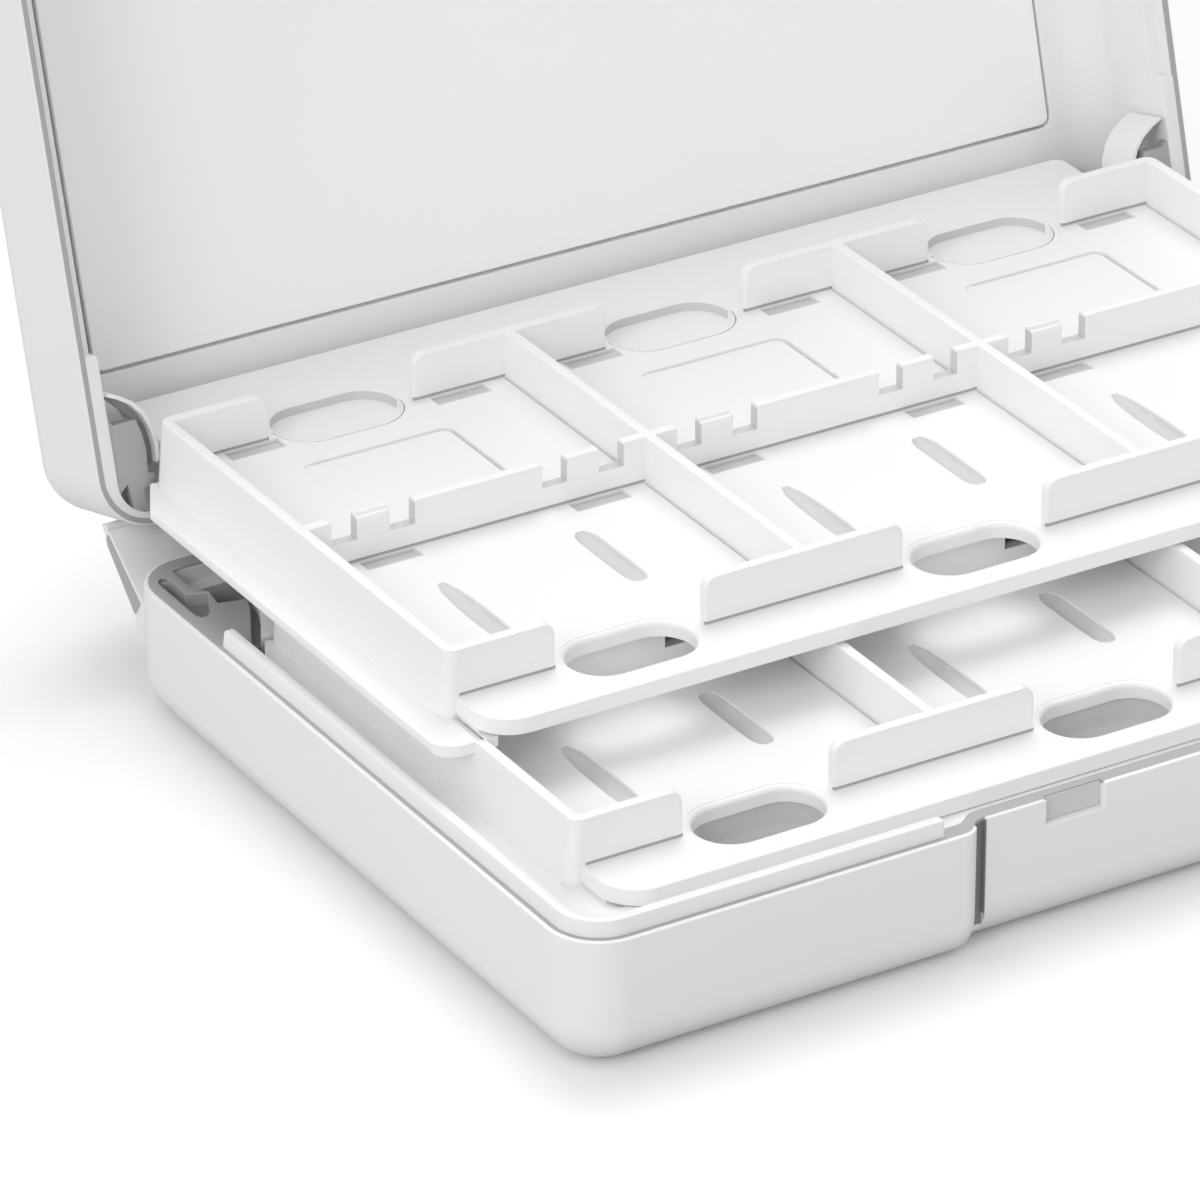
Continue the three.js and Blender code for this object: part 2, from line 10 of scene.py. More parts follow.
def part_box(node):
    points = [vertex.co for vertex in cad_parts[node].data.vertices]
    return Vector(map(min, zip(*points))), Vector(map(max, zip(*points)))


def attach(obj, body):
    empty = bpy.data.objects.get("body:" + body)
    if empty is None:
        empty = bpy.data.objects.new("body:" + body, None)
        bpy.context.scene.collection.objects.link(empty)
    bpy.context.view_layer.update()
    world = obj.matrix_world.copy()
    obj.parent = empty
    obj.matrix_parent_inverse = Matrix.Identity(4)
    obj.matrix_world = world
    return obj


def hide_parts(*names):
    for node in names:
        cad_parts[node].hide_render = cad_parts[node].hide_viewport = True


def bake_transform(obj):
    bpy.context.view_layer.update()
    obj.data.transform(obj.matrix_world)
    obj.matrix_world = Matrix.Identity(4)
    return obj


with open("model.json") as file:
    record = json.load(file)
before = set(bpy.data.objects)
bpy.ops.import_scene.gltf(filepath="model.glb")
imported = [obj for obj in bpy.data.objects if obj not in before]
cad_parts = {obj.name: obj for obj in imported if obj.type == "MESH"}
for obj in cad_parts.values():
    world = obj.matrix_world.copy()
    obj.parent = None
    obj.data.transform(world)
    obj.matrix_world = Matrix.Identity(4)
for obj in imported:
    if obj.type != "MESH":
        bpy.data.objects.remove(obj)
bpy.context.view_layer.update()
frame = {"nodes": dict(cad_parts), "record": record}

bl_info = {
    "name": "Game Card Case",
    "version": (1, 0, 0),
    "blender": (4, 5, 0),
    "location": "View3D > Sidebar > Card Case",
    "description": "Builds the open card case with its two stepped trays, strap and lid",
    "category": "Object",
}

# The scene is in metres; the mouldings are drawn in millimetres
MM = 0.001


def span(node):
    """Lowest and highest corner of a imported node, in millimetres."""
    low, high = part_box(node)
    return Vector(low) / MM, Vector(high) / MM


BASE_LOW, BASE_HIGH = span("base_shell")
UPPER_LOW, UPPER_HIGH = span("upper_tray")
LOWER_LOW, LOWER_HIGH = span("lower_tray")
JOINTS = {joint["name"]: joint for joint in frame["record"]["behaviour"]["joints"]}
BASE_HINGE = Vector(JOINTS["strap_hinge"]["pos_m"]) / MM
LID_HINGE = Vector(JOINTS["lid_hinge"]["pos_m"]) / MM
STRAP_TURN = JOINTS["strap_hinge"]["range_deg"][1]
LID_TURN = JOINTS["lid_hinge"]["range_deg"][1]

# Case outline: CORNER rounds its plan, and EDGE its bottom and top
HALF_X = BASE_HIGH.x
HALF_Y = BASE_HIGH.y
LIP_TOP = BASE_HIGH.z
LIP_HEIGHT = 1.5
RIM = LIP_TOP - LIP_HEIGHT
WALL = 2.0
CORNER = 5.0
EDGE = 4.0

# Tray places: middle wall's front face and wall tops
TRAY_DEPTH_FRONT = 31.0
UPPER_PLACE = Matrix.Translation((0, UPPER_LOW.y + TRAY_DEPTH_FRONT, UPPER_HIGH.z))
LOWER_PLACE = Matrix.Translation((0, LOWER_LOW.y + TRAY_DEPTH_FRONT, LOWER_HIGH.z))

# Lid in its closed place
STRAP_LENGTH = (LID_HINGE - BASE_HINGE).length
CLOSED_HINGE = BASE_HINGE + Vector((0, 0, STRAP_LENGTH))
LID_CLEARANCE = 0.3
LID_THICK = 1.7
CEILING = UPPER_HIGH.z + LID_CLEARANCE
LID_TOP = CEILING + LID_THICK
STRAP_OPEN = (
    Matrix.Translation(BASE_HINGE)
    @ Matrix.Rotation(math.radians(-STRAP_TURN), 4, "X")
    @ Matrix.Translation(-BASE_HINGE)
)
LID_OPEN = (
    Matrix.Translation(LID_HINGE)
    @ Matrix.Rotation(math.radians(-STRAP_TURN - LID_TURN), 4, "X")
    @ Matrix.Translation(-CLOSED_HINGE)
)


def hex_linear(code):
    """Linear colour of an sRGB hex value."""
    values = [int(code[i:i + 2], 16) / 255 for i in (0, 2, 4)]
    return [v / 12.92 if v <= 0.04045 else ((v + 0.055) / 1.055) ** 2.4 for v in values]


def size_property(name, description, value, low, high):
    """Property for a size in millimetres."""
    return bpy.props.FloatProperty(
        name=name, description=f"{description}, mm", default=value, min=low, max=high)


def colour_property(name, description, code):
    """Property for a colour, given as an sRGB hex value."""
    return bpy.props.FloatVectorProperty(
        name=name, description=description, subtype="COLOR", size=3, min=0, max=1, default=hex_linear(code))


class CardCaseSizes(bpy.types.PropertyGroup):
    """Sizes of the fine shapes, in millimetres."""

    edge_round: size_property("Edge rounding", "Radius of the moulded edges", 0.28, 0.05, 0.6)
    pocket_width: size_property("Pocket width", "Inner width of a card pocket", 33.3, 30, 34)
    wall: size_property("Tray wall", "Thickness of the tray walls", 1.1, 0.8, 1.4)
    pocket_height: size_property("Pocket height", "Height of the tray walls over the floor", 4.4, 3, 5)
    finger_gap: size_property("Finger gap", "Opening in the front and rear wall of a pocket", 14.6, 10, 18)
    foot_groove: size_property("Foot groove", "Width of the fine line at the foot of a wall", 0.22, 0.1, 0.5)


class CardCaseColours(bpy.types.PropertyGroup):
    """Colours of the mouldings and the stage."""

    shell: colour_property("Shell", "Colour of base, strap and lid", "F0F0F0")
    tray: colour_property("Tray", "Colour of the two trays", "F4F4F4")
    panel: colour_property("Panel", "Colour of the blank panel in the lid", "FBFBFB")
    # Painted shade: grey of the corner blocks, ledge and rim strips, strap ends and foot lines
    corner: colour_property("Corner pieces", "Colour of the corner blocks and plates", "AEAEAE")
    # Painted deep shade at the bottoms of narrow slots
    slot: colour_property("Slots", "Colour deep in the narrow slots", "8C8C8C")
    # Painted shade on the trays' cut faces, the finger cups and the latch pocket backs
    cut: colour_property("Cut faces", "Colour of painted shade on the trays' cut faces", "D2D2D2")
    floor: colour_property("Floor", "Colour of the stage floor", "FAFAFA")


def arc(cx, cy, radius, start, end, steps):
    """Points of an arc in degrees, both ends included."""
    points = []
    for i in range(steps + 1):
        turn = math.radians(start + (end - start) * i / steps)
        points.append((cx + radius * math.cos(turn), cy + radius * math.sin(turn)))
    return points


def round_rect(x0, x1, y0, y1, radius, steps):
    """Rectangle with round corners, anticlockwise."""
    r = min(radius, (x1 - x0) / 2 - 0.01, (y1 - y0) / 2 - 0.01)
    return (
        arc(x1 - r, y0 + r, r, -90, 0, steps)
        + arc(x1 - r, y1 - r, r, 0, 90, steps)
        + arc(x0 + r, y1 - r, r, 90, 180, steps)
        + arc(x0 + r, y0 + r, r, 180, 270, steps)
    )


def loft(rings):
    """Closed solid through rings of the same number of points."""
    count = len(rings[0])
    points = [point for ring in rings for point in ring]
    faces = [list(range(count))[::-1]]
    for level in range(len(rings) - 1):
        low = level * count
        for i in range(count):
            j = (i + 1) % count
            faces.append([low + i, low + j, low + count + j, low + count + i])
    last = (len(rings) - 1) * count
    faces.append([last + i for i in range(count)])
    return points, faces


def prism_z(outline, z0, z1):
    """Prism of a plan outline."""
    return loft([[(x, y, z0) for x, y in outline], [(x, y, z1) for x, y in outline]])


def prism_y(outline, y0, y1):
    """Prism of an outline in X and Z, along Y."""
    return loft([[(x, y0, z) for x, z in outline], [(x, y1, z) for x, z in outline]])


def prism_x(outline, x0, x1):
    """Prism of an outline in Y and Z, along X."""
    return loft([[(x0, y, z) for y, z in outline], [(x1, y, z) for y, z in outline]])


def block(x0, x1, y0, y1, z0, z1):
    """Box between two corners."""
    return prism_z([(x0, y0), (x1, y0), (x1, y1), (x0, y1)], z0, z1)


def mirrored(shape):
    """Shape mirrored left to right, its faces turned back outwards."""
    points, faces = shape
    return [(-x, y, z) for x, y, z in points], [face[::-1] for face in faces]


def solid_object(name, shapes):
    """Object of one or more closed shapes, faces pointing out, still in millimetres."""
    made = bmesh.new()
    for points, faces in shapes:
        corners = [made.verts.new(point) for point in points]
        for face in faces:
            made.faces.new([corners[i] for i in face])
    bmesh.ops.recalc_face_normals(made, faces=made.faces)
    mesh = bpy.data.meshes.new(name)
    made.to_mesh(mesh)
    made.free()
    obj = bpy.data.objects.new(name, mesh)
    bpy.context.scene.collection.objects.link(obj)
    return obj


# Corners closer than WELD become one, and faces that turn less than FLAT_TURN become one
WELD = 0.002
FLAT_TURN = math.radians(0.3)
# Edges that turn more than ROUND_TURN are rounded, and those past CRISP_TURN stay crisp in the shading
ROUND_TURN = math.radians(35)
ROUND_SEGMENTS = 2
CRISP_TURN = math.radians(24)


def bake(obj):
    """Replaces the object's mesh by its evaluated one and drops the modifiers."""
    bpy.context.view_layer.update()
    graph = bpy.context.evaluated_depsgraph_get()
    mesh = bpy.data.meshes.new_from_object(obj.evaluated_get(graph))
    obj.modifiers.clear()
    old = obj.data
    obj.data = mesh
    bpy.data.meshes.remove(old)
    mesh.name = obj.name


def combine(obj, shapes, operation):
    """Joins shapes to the object or cuts them from it."""
    tool = solid_object("tool", shapes)
    step = obj.modifiers.new("combine", "BOOLEAN")
    step.operation = operation
    step.solver = "EXACT"
    step.use_self = True
    step.object = tool
    bake(obj)
    mesh = tool.data
    bpy.data.objects.remove(tool)
    bpy.data.meshes.remove(mesh)
    tidy = bmesh.new()
    tidy.from_mesh(obj.data)
    bmesh.ops.remove_doubles(tidy, verts=tidy.verts, dist=WELD)
    bmesh.ops.dissolve_limit(tidy, angle_limit=FLAT_TURN, verts=tidy.verts, edges=tidy.edges)
    tidy.to_mesh(obj.data)
    tidy.free()


def soften(obj, width, seen=None):
    """Rounds the object's outer edges that can be seen, and leaves inner corners crisp."""
    marked = bmesh.new()
    marked.from_mesh(obj.data)
    weight = marked.edges.layers.float.new("bevel_weight_edge")
    for edge in marked.edges:
        outer = edge.is_manifold and edge.is_convex and edge.calc_face_angle() > ROUND_TURN
        if outer and seen is not None:
            outer = all(seen(corner.co) for corner in edge.verts)
        edge[weight] = 1.0 if outer else 0.0
    marked.to_mesh(obj.data)
    marked.free()
    step = obj.modifiers.new("soften", "BEVEL")
    step.width = width
    step.segments = ROUND_SEGMENTS
    step.limit_method = "WEIGHT"
    step.use_clamp_overlap = False
    step.miter_outer = "MITER_SHARP"
    split = obj.modifiers.new("split", "TRIANGULATE")
    split.ngon_method = "BEAUTY"
    bake(obj)


def finish_piece(obj, finish, body, nodes=(), place=None):
    """Brings a piece to metres and to its place, gives it its finish and ties it to the frame."""
    if place is not None:
        obj.data.transform(place)
    obj.data.transform(Matrix.Scale(MM, 4))
    obj.data.shade_smooth()
    obj.data.set_sharp_from_angle(angle=CRISP_TURN)
    step = obj.modifiers.new("shade", "WEIGHTED_NORMAL")
    step.keep_sharp = True
    bake(obj)
    obj.data.materials.clear()
    obj.data.materials.append(finish_named(finish))
    if body is not None:
        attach(obj, body)
    if nodes:
        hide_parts(*nodes)


def plain_piece(name, shapes, finish, body, nodes=(), place=None, edge=0):
    """Piece of closed shapes as they are, its edges rounded where a radius is given."""
    obj = solid_object(name, shapes)
    if edge:
        soften(obj, edge)
    finish_piece(obj, finish, body, nodes, place)
    return obj


def emptied_tree(owner):
    """Node tree of a new material or world, without its first nodes."""
    owner.use_nodes = True
    owner.node_tree.nodes.clear()
    return owner.node_tree


def add_node(tree, kind, inputs=None, **settings):
    """Adds a node with its settings, values and links. A node as a value stands for its first output."""
    made = tree.nodes.new(kind)
    for name, value in settings.items():
        setattr(made, name, value)
    for name, value in (inputs or {}).items():
        if isinstance(value, bpy.types.Node):
            value = value.outputs[0]
        if isinstance(value, bpy.types.NodeSocket):
            tree.links.new(value, made.inputs[name])
        else:
            made.inputs[name].default_value = value
    return made


# Width and depth of the grain in millimetres. The real one is near 0.1 mm wide, too fine for the picture,
# so it is drawn as coarse as it needs to show
TOOL_GRAIN = (0.35, 0.01)
SHEET_GRAIN = (0.5, 0.006)
GRAIN_STRENGTH = 0.25
GLOSS_SPREAD = 0.05
# Clouds of the flowing melt in each metre, so one is about 30 mm wide
FLOW_CLOUDS = 33.0
FLOW_SHADE = 0.985
# Polypropylene's index of refraction, to which that of ABS comes close
PLASTIC_IOR = 1.49


def moulded_plastic(name, colour, roughness, grain):
    """Moulded plastic: an even satin skin with fine grain and a slight flow tint."""
    grain_mm, depth_mm = grain
    made = bpy.data.materials.new(name)
    tree = emptied_tree(made)
    place = add_node(tree, "ShaderNodeTexCoord").outputs["Object"]
    # Grain of the tool's surface: one bump each grain_mm
    bumps = add_node(tree, "ShaderNodeTexNoise", {
        "Vector": place, "Scale": 1 / (grain_mm * MM), "Detail": 2.0, "Roughness": 0.5})
    flow = add_node(tree, "ShaderNodeTexNoise", {
        "Vector": place, "Scale": FLOW_CLOUDS, "Detail": 1.0, "Roughness": 0.4})
    tint = add_node(tree, "ShaderNodeValToRGB", {"Fac": flow})
    tint.color_ramp.elements[0].position = 0.3
    tint.color_ramp.elements[0].color = (*[c * FLOW_SHADE for c in colour], 1)
    tint.color_ramp.elements[1].position = 0.7
    tint.color_ramp.elements[1].color = (*colour, 1)
    gloss = add_node(tree, "ShaderNodeMapRange", {
        "Value": bumps, "To Min": roughness - GLOSS_SPREAD, "To Max": roughness + GLOSS_SPREAD})
    relief = add_node(tree, "ShaderNodeBump", {
        "Height": bumps, "Strength": GRAIN_STRENGTH, "Distance": depth_mm * MM})
    skin = add_node(tree, "ShaderNodeBsdfPrincipled", {
        "Base Color": tint, "Roughness": gloss, "Normal": relief, "IOR": PLASTIC_IOR})
    add_node(tree, "ShaderNodeOutputMaterial", {"Surface": skin})
    return made


SHELL = "satin ABS shell"
TRAY = "satin polypropylene tray"
PANEL = "calendered polypropylene panel"
SHADE_GREY = "ABS grey of painted shade"
SHADED = "shaded ABS"
CUT_SHADE = "polypropylene grey of painted shade"


def finish_named(name):
    """The finish of that name, made on first use."""
    colours = bpy.context.scene.card_case_colours
    recipes = {
        # ABS from a finely eroded tool: wide, soft highlights on the rounded shells
        SHELL: (colours.shell, 0.42, TOOL_GRAIN),
        # Polypropylene is waxier than ABS, so the tray walls look milder and more even
        TRAY: (colours.tray, 0.48, TOOL_GRAIN),
        # Rolled sheet: flat, plain and bright, with hardly any relief
        PANEL: (colours.panel, 0.5, SHEET_GRAIN),
        # Painted shade: grey for the ledge and rim strips, corner blocks, strap ends and foot lines, and dull
        SHADE_GREY: (colours.corner, 0.5, TOOL_GRAIN),
        # Painted deep shade for the bottoms of narrow slots, which hardly any light reaches: dark and dull
        SHADED: (colours.slot, 0.6, TOOL_GRAIN),
        # Painted shade on the trays' cut faces, cups and pocket backs: dull and a little grey beside the
        # white walls
        CUT_SHADE: (colours.cut, 0.6, TOOL_GRAIN),
    }
    if name in bpy.data.materials:
        return bpy.data.materials[name]
    return moulded_plastic(name, *recipes[name])


# Tray, with its origin at the top of the middle wall's front face
TRAY_FRONT = -25.0
TRAY_REAR = 24.9
TRAY_HALF = 52.15
COLUMNS = (-34.4, 0.0, 34.4)
RIBS = (-17.2, 17.2)
FLOOR_DROP = 1.5
FLOOR_HALF = 51.5
APRON_HALF = 51.3
APRON_ROUND = 3.6
REAR_HALF = 50.0
REAR_EDGE = 36.5
# How far one solid of a tray reaches into the next
LAP = 0.5
# Side wall and the flange at its foot
SKIRT = 52.6
SKIRT_INNER = SKIRT - 0.8
SKIRT_FOOT = 6.0
SIDE_UNDER = -5.4
FLANGE_TOP = -6.2
FLANGE_BOTTOM = -7.2
FLANGE_HALF = 55.4
FLANGE_REACH = 4.6
FLANGE_ROUND = 2.2
FLANGE_SLANT = 4.8
TRAY_CORNER = 1.1
# Spring tabs of the middle wall, the notches and windows beside them, and the lead-in's section in Y and Z
TAB_RADIUS = 1.3
TAB_CENTRE = 10.4
TAB_WIDTH = 3.2
NOTCH_WIDTH = 2.5
NOTCH_DROP = 2.3
WINDOW_WIDTH = 5.5
WINDOW_DEPTH = 1.6
WINDOW_SINK = 0.9
LEAD_IN = (
    (-0.6, 0.4), (0.55, 0.4), (0.55, -0.05), (0.42, -0.3), (0.2, -0.34), (0.06, -0.6), (-0.02, -0.95),
    (-0.6, -0.95),
)
# Finger hole in front of a pocket, and the finger pocket behind it with the fine line at its front
HOLE_WIDTH = 12.9
HOLE_DEPTH = 7.4
HOLE_RIM = 0.5
HOLE_EDGE = 0.06
POCKET_HALF = 6.2
POCKET_REACH = 3.5
POCKET_ROUND = 3.48
POCKET_SINK = 0.85
POCKET_LINE = (0.26, 0.12)
ROUND_STEPS = 10
# Recess for a memory card, and the fine line along its right and rear edge
RECESS_HALF = 7.6
RECESS_FRONT = 6.9
RECESS_REAR = 18.1
RECESS_ROUND = 1.2
RECESS_SINK = 0.22
LINE_FRONT = 7.6
LINE_SIDE = 0.26
LINE_REAR = 0.1
LINE_SINK = 0.8
# Depth of the grooves beside the walls, size and reach of the relief at their feet, and skin of a lining
GROOVE_SINK = 0.35
RELIEF = 0.28
RELIEF_HALF = 51.0
SKIN = 0.02
# Finger cup from its inner bottom over the rim to its outer bottom: inset and height over the floor
CUP_HALF = 6.2
CUP_REACH = 3.45
CUP_ROUND = 3.4
CUP_PROFILE = (
    (0.6, -4.2), (0.0, -3.9), (-0.15, -3.4), (-0.15, -1.6), (-0.6, -1.6), (-0.6, -4.0), (0.2, -4.7),
    (0.6, -4.7),
)


def finger_hole(cx, top, bottom):
    """Cut for a finger hole in the tray's front, whose upper edge is rounded."""
    edge = top - HOLE_EDGE
    profile = [(0, top + 0.5), (0, edge)]
    for degrees in (20, 40, 60, 75, 90):
        turn = math.radians(degrees)
        profile.append((HOLE_RIM * math.sin(turn), edge - HOLE_RIM * (1 - math.cos(turn))))
    profile.append((HOLE_RIM, bottom))
    rings = []
    for inset, z in profile:
        half = HOLE_WIDTH / 2 - inset
        reach = HOLE_DEPTH / 2 - inset
        outline = round_rect(cx - half, cx + half, TRAY_FRONT - reach, TRAY_FRONT + reach, reach, ROUND_STEPS)
        rings.append([(x, y, z) for x, y in outline])
    return loft(rings)


# Troughs that guide the thumb in a front pocket: middle in X, then Y, half width and depth along each
TROUGHS = (
    (7.0, ((-5.0, 0.35, 0.1), (-5.5, 0.8, 0.4), (-6.5, 1.05, 0.65), (-9.0, 1.1, 0.75), (-12.0, 1.1, 0.75),
           (-14.2, 1.05, 0.65), (-15.0, 0.8, 0.4), (-15.4, 0.35, 0.1))),
    (-7.9, ((-7.0, 0.35, 0.08), (-8.5, 0.8, 0.3), (-10.5, 1.0, 0.55), (-13.0, 1.1, 0.75), (-16.0, 1.1, 0.75),
            (-17.4, 1.0, 0.65), (-18.2, 0.8, 0.4), (-18.6, 0.35, 0.1))),
)
# Lean from the edge at which a trough's lining of painted shade begins, in degrees
TROUGH_LEAN = 16


def trough_arc(x, y, floor, half, depth, lean):
    """Lower half of an ellipse across a trough, from its right edge to its left."""
    turns = [math.radians(lean + (180 - 2 * lean) * i / 8) for i in range(9)]
    return [(x + half * math.cos(a), y, floor - depth * math.sin(a)) for a in turns]


def trough_cuts(cx, floor):
    """Cuts for the two troughs of a front pocket."""
    above = floor + 0.3
    cuts = []
    for x, rows in TROUGHS:
        x += cx
        cuts.append(loft([
            [(x + half, y, above)] + trough_arc(x, y, floor, half, depth, 0) + [(x - half, y, above)]
            for y, half, depth in rows
        ]))
    return cuts


def trough_linings(floor):
    """Grey linings of painted shade in the two troughs."""
    linings = []
    for x, rows in TROUGHS:
        linings.append(loft([
            trough_arc(x, y, floor, half + SKIN, depth + SKIN, TROUGH_LEAN)
            + trough_arc(x, y, floor, half - SKIN, depth - SKIN, TROUGH_LEAN)[::-1]
            for y, half, depth in rows
        ]))
    return linings


def tab_outline(x0, x1, height, radius, round_left, round_right):
    """Outline of a wall tab in X and Z, with its free top corners rounded."""
    outline = [(x0, -height), (x1, -height)]
    outline += arc(x1 - radius, -radius, radius, 0, 90, 7) if round_right else [(x1, 0)]
    outline += arc(x0 + radius, -radius, radius, 90, 180, 7) if round_left else [(x0, 0)]
    return outline


def corner_cut(x, y, radius, draft, z0, z1):
    """Cut that rounds an upright corner, leaning with the side wall's draft."""
    sx = math.copysign(1, x)
    sy = math.copysign(1, y)
    rings = []
    beyond = 0.06
    for z in (z0, z1):
        edge = x - sx * draft * z
        outline = [
            (edge + sx * (px - radius), y + sy * (py - radius)) for px, py in arc(0, 0, radius, 0, 90, 6)]
        outline += [
            (edge - sx * radius, y + sy * beyond), (edge + sx * beyond, y + sy * beyond),
            (edge + sx * beyond, y - sy * radius),
        ]
        rings.append([(px, py, z) for px, py in outline])
    return loft(rings)


def tray_main(sizes):
    """The tray's solids, and the cuts that round its upright corners."""
    floor = -sizes.pocket_height
    under = floor - FLOOR_DROP
    wall = sizes.wall
    foot = floor - LAP
    side = [
        (TRAY_HALF - wall, 0), (TRAY_HALF, 0), (SKIRT, -SKIRT_FOOT), (SKIRT + 0.06, -SKIRT_FOOT - 0.14),
        (SKIRT + 0.2, FLANGE_TOP), (FLANGE_HALF, FLANGE_TOP), (FLANGE_HALF, FLANGE_BOTTOM),
        (SKIRT_INNER, FLANGE_BOTTOM), (SKIRT_INNER, SIDE_UNDER), (TRAY_HALF - wall, SIDE_UNDER),
    ]
    front = TRAY_FRONT - FLANGE_REACH
    reach = (
        [(FLANGE_HALF, TRAY_FRONT + LAP), (SKIRT - 2.6, TRAY_FRONT + LAP), (SKIRT - 2.6, front)]
        + arc(FLANGE_HALF - FLANGE_ROUND, front + FLANGE_ROUND, FLANGE_ROUND, -90, 0, 8)
    )
    # Side wall with its flange, the flange's front end, and the two gussets that tie it to the floor
    right = [
        prism_y(side, TRAY_FRONT, TRAY_REAR),
        prism_z(reach, FLANGE_BOTTOM, FLANGE_TOP),
        block(SKIRT - 3.2, SKIRT - 1.5, front + 1.3, TRAY_FRONT + 0.8, FLANGE_TOP - 0.2, under + 0.3),
        block(SKIRT - 3.0, SKIRT - 0.3, TRAY_FRONT + 0.04, TRAY_FRONT + 1.0, FLANGE_TOP - 0.3, floor - 0.2),
    ]
    apron = round_rect(-APRON_HALF, APRON_HALF, -TRAY_DEPTH_FRONT, TRAY_FRONT + 10, APRON_ROUND, 8)
    middle = round_rect(-FLOOR_HALF, FLOOR_HALF, TRAY_FRONT + 3, TRAY_REAR - LAP, 0.3, 2)
    rear = round_rect(-REAR_HALF, REAR_HALF, TRAY_REAR - 8, REAR_EDGE, 1.0, 4)
    solids = right + [mirrored(shape) for shape in right]
    solids += [prism_z(outline, under, floor) for outline in (apron, middle, rear)]
    solids.append(block(-TRAY_HALF + LAP, TRAY_HALF - LAP, 0, wall, foot, 0))
    for x in RIBS:
        solids.append(block(x - wall / 2, x + wall / 2, TRAY_FRONT + 0.4, TRAY_REAR - 0.4, foot, 0))
    ends = gap_ends(sizes, TRAY_HALF - LAP)
    for y0 in (TRAY_FRONT, TRAY_REAR - wall):
        for i in range(0, len(ends), 2):
            outline = tab_outline(ends[i], ends[i + 1], -foot, TAB_RADIUS, i > 0, i + 2 < len(ends))
            solids.append(prism_y(outline, y0, y0 + wall))
    corners = [
        corner_cut(x, y, TRAY_CORNER, (SKIRT - TRAY_HALF) / SKIRT_FOOT, FLANGE_TOP - 0.05, 1)
        for x in (-TRAY_HALF, TRAY_HALF) for y in (TRAY_FRONT, TRAY_REAR)
    ]
    # The flange's rear end slants, so that it clears the lid's corner
    beyond = FLANGE_HALF + 0.2
    slant = prism_z(
        [(SKIRT + 0.35, TRAY_REAR + 0.1), (beyond, TRAY_REAR - FLANGE_SLANT), (beyond, TRAY_REAR + 0.1)],
        FLANGE_BOTTOM - 0.5, FLANGE_TOP + 0.15)
    corners += [slant, mirrored(slant)]
    return solids, corners


def gap_ends(sizes, half):
    """Ends in X of the wall pieces between the finger gaps, from one side of the tray to the other."""
    gap = sizes.finger_gap / 2
    return [-half] + [end for cx in COLUMNS for end in (cx - gap, cx + gap)] + [half]


def pocket_outline(cx, grow):
    """Outline of the finger pocket behind a card pocket, grown by a margin."""
    half = POCKET_HALF + grow
    reach = POCKET_REACH + grow
    return round_rect(
        cx - half, cx + half, TRAY_REAR - reach, TRAY_REAR + reach, POCKET_ROUND + grow, ROUND_STEPS)


def pocket_front(cx, grow):
    """Front half of the finger pocket's outline, from left to right."""
    outline = pocket_outline(cx, grow)
    count = ROUND_STEPS + 1
    return outline[-count:] + outline[:count]


def recess_line(cx):
    """Plan of the fine line along the right and rear edge of a card recess."""
    right = cx + RECESS_HALF - RECESS_ROUND
    left = cx - RECESS_HALF + RECESS_ROUND
    y = RECESS_REAR - RECESS_ROUND
    radius = RECESS_ROUND - SKIN
    side = radius - LINE_SIDE
    rear = radius - LINE_REAR
    outline = [(right + radius, LINE_FRONT)] + arc(right, y, radius, 0, 90, 6)
    outline += [(left, y + radius), (left, y + rear)]
    for degrees in range(90, -1, -15):
        turn = math.radians(degrees)
        outline.append((right + side * math.cos(turn), y + rear * math.sin(turn)))
    return outline + [(right + side, LINE_FRONT)]


def lead_in(cx):
    """Cut for the lead-in at the front of a pocket's left spring tab."""
    tab = cx - TAB_CENTRE
    half = TAB_WIDTH / 2 + 0.1
    return prism_x(LEAD_IN, tab - half, tab + half)


def notch_span(tab, edge):
    """Both ends in X of the notch on one edge of a spring tab."""
    notch = tab + edge * (TAB_WIDTH + NOTCH_WIDTH) / 2
    return notch - NOTCH_WIDTH / 2, notch + NOTCH_WIDTH / 2


def foot_runs(sizes):
    """Relief slots at the foot of the walls that face forward: both ends in X, and the wall's face in Y."""
    gap = sizes.finger_gap / 2
    half = sizes.pocket_width / 2
    ends = gap_ends(sizes, RELIEF_HALF)
    runs = [(x0, x1, TRAY_FRONT) for x0, x1 in zip(ends[::2], ends[1::2])]
    for cx in COLUMNS:
        runs.append((cx - half, cx + half, 0.0))
        runs.append((cx - half, cx - gap, TRAY_REAR - sizes.wall))
        runs.append((cx + gap, cx + half, TRAY_REAR - sizes.wall))
    return runs


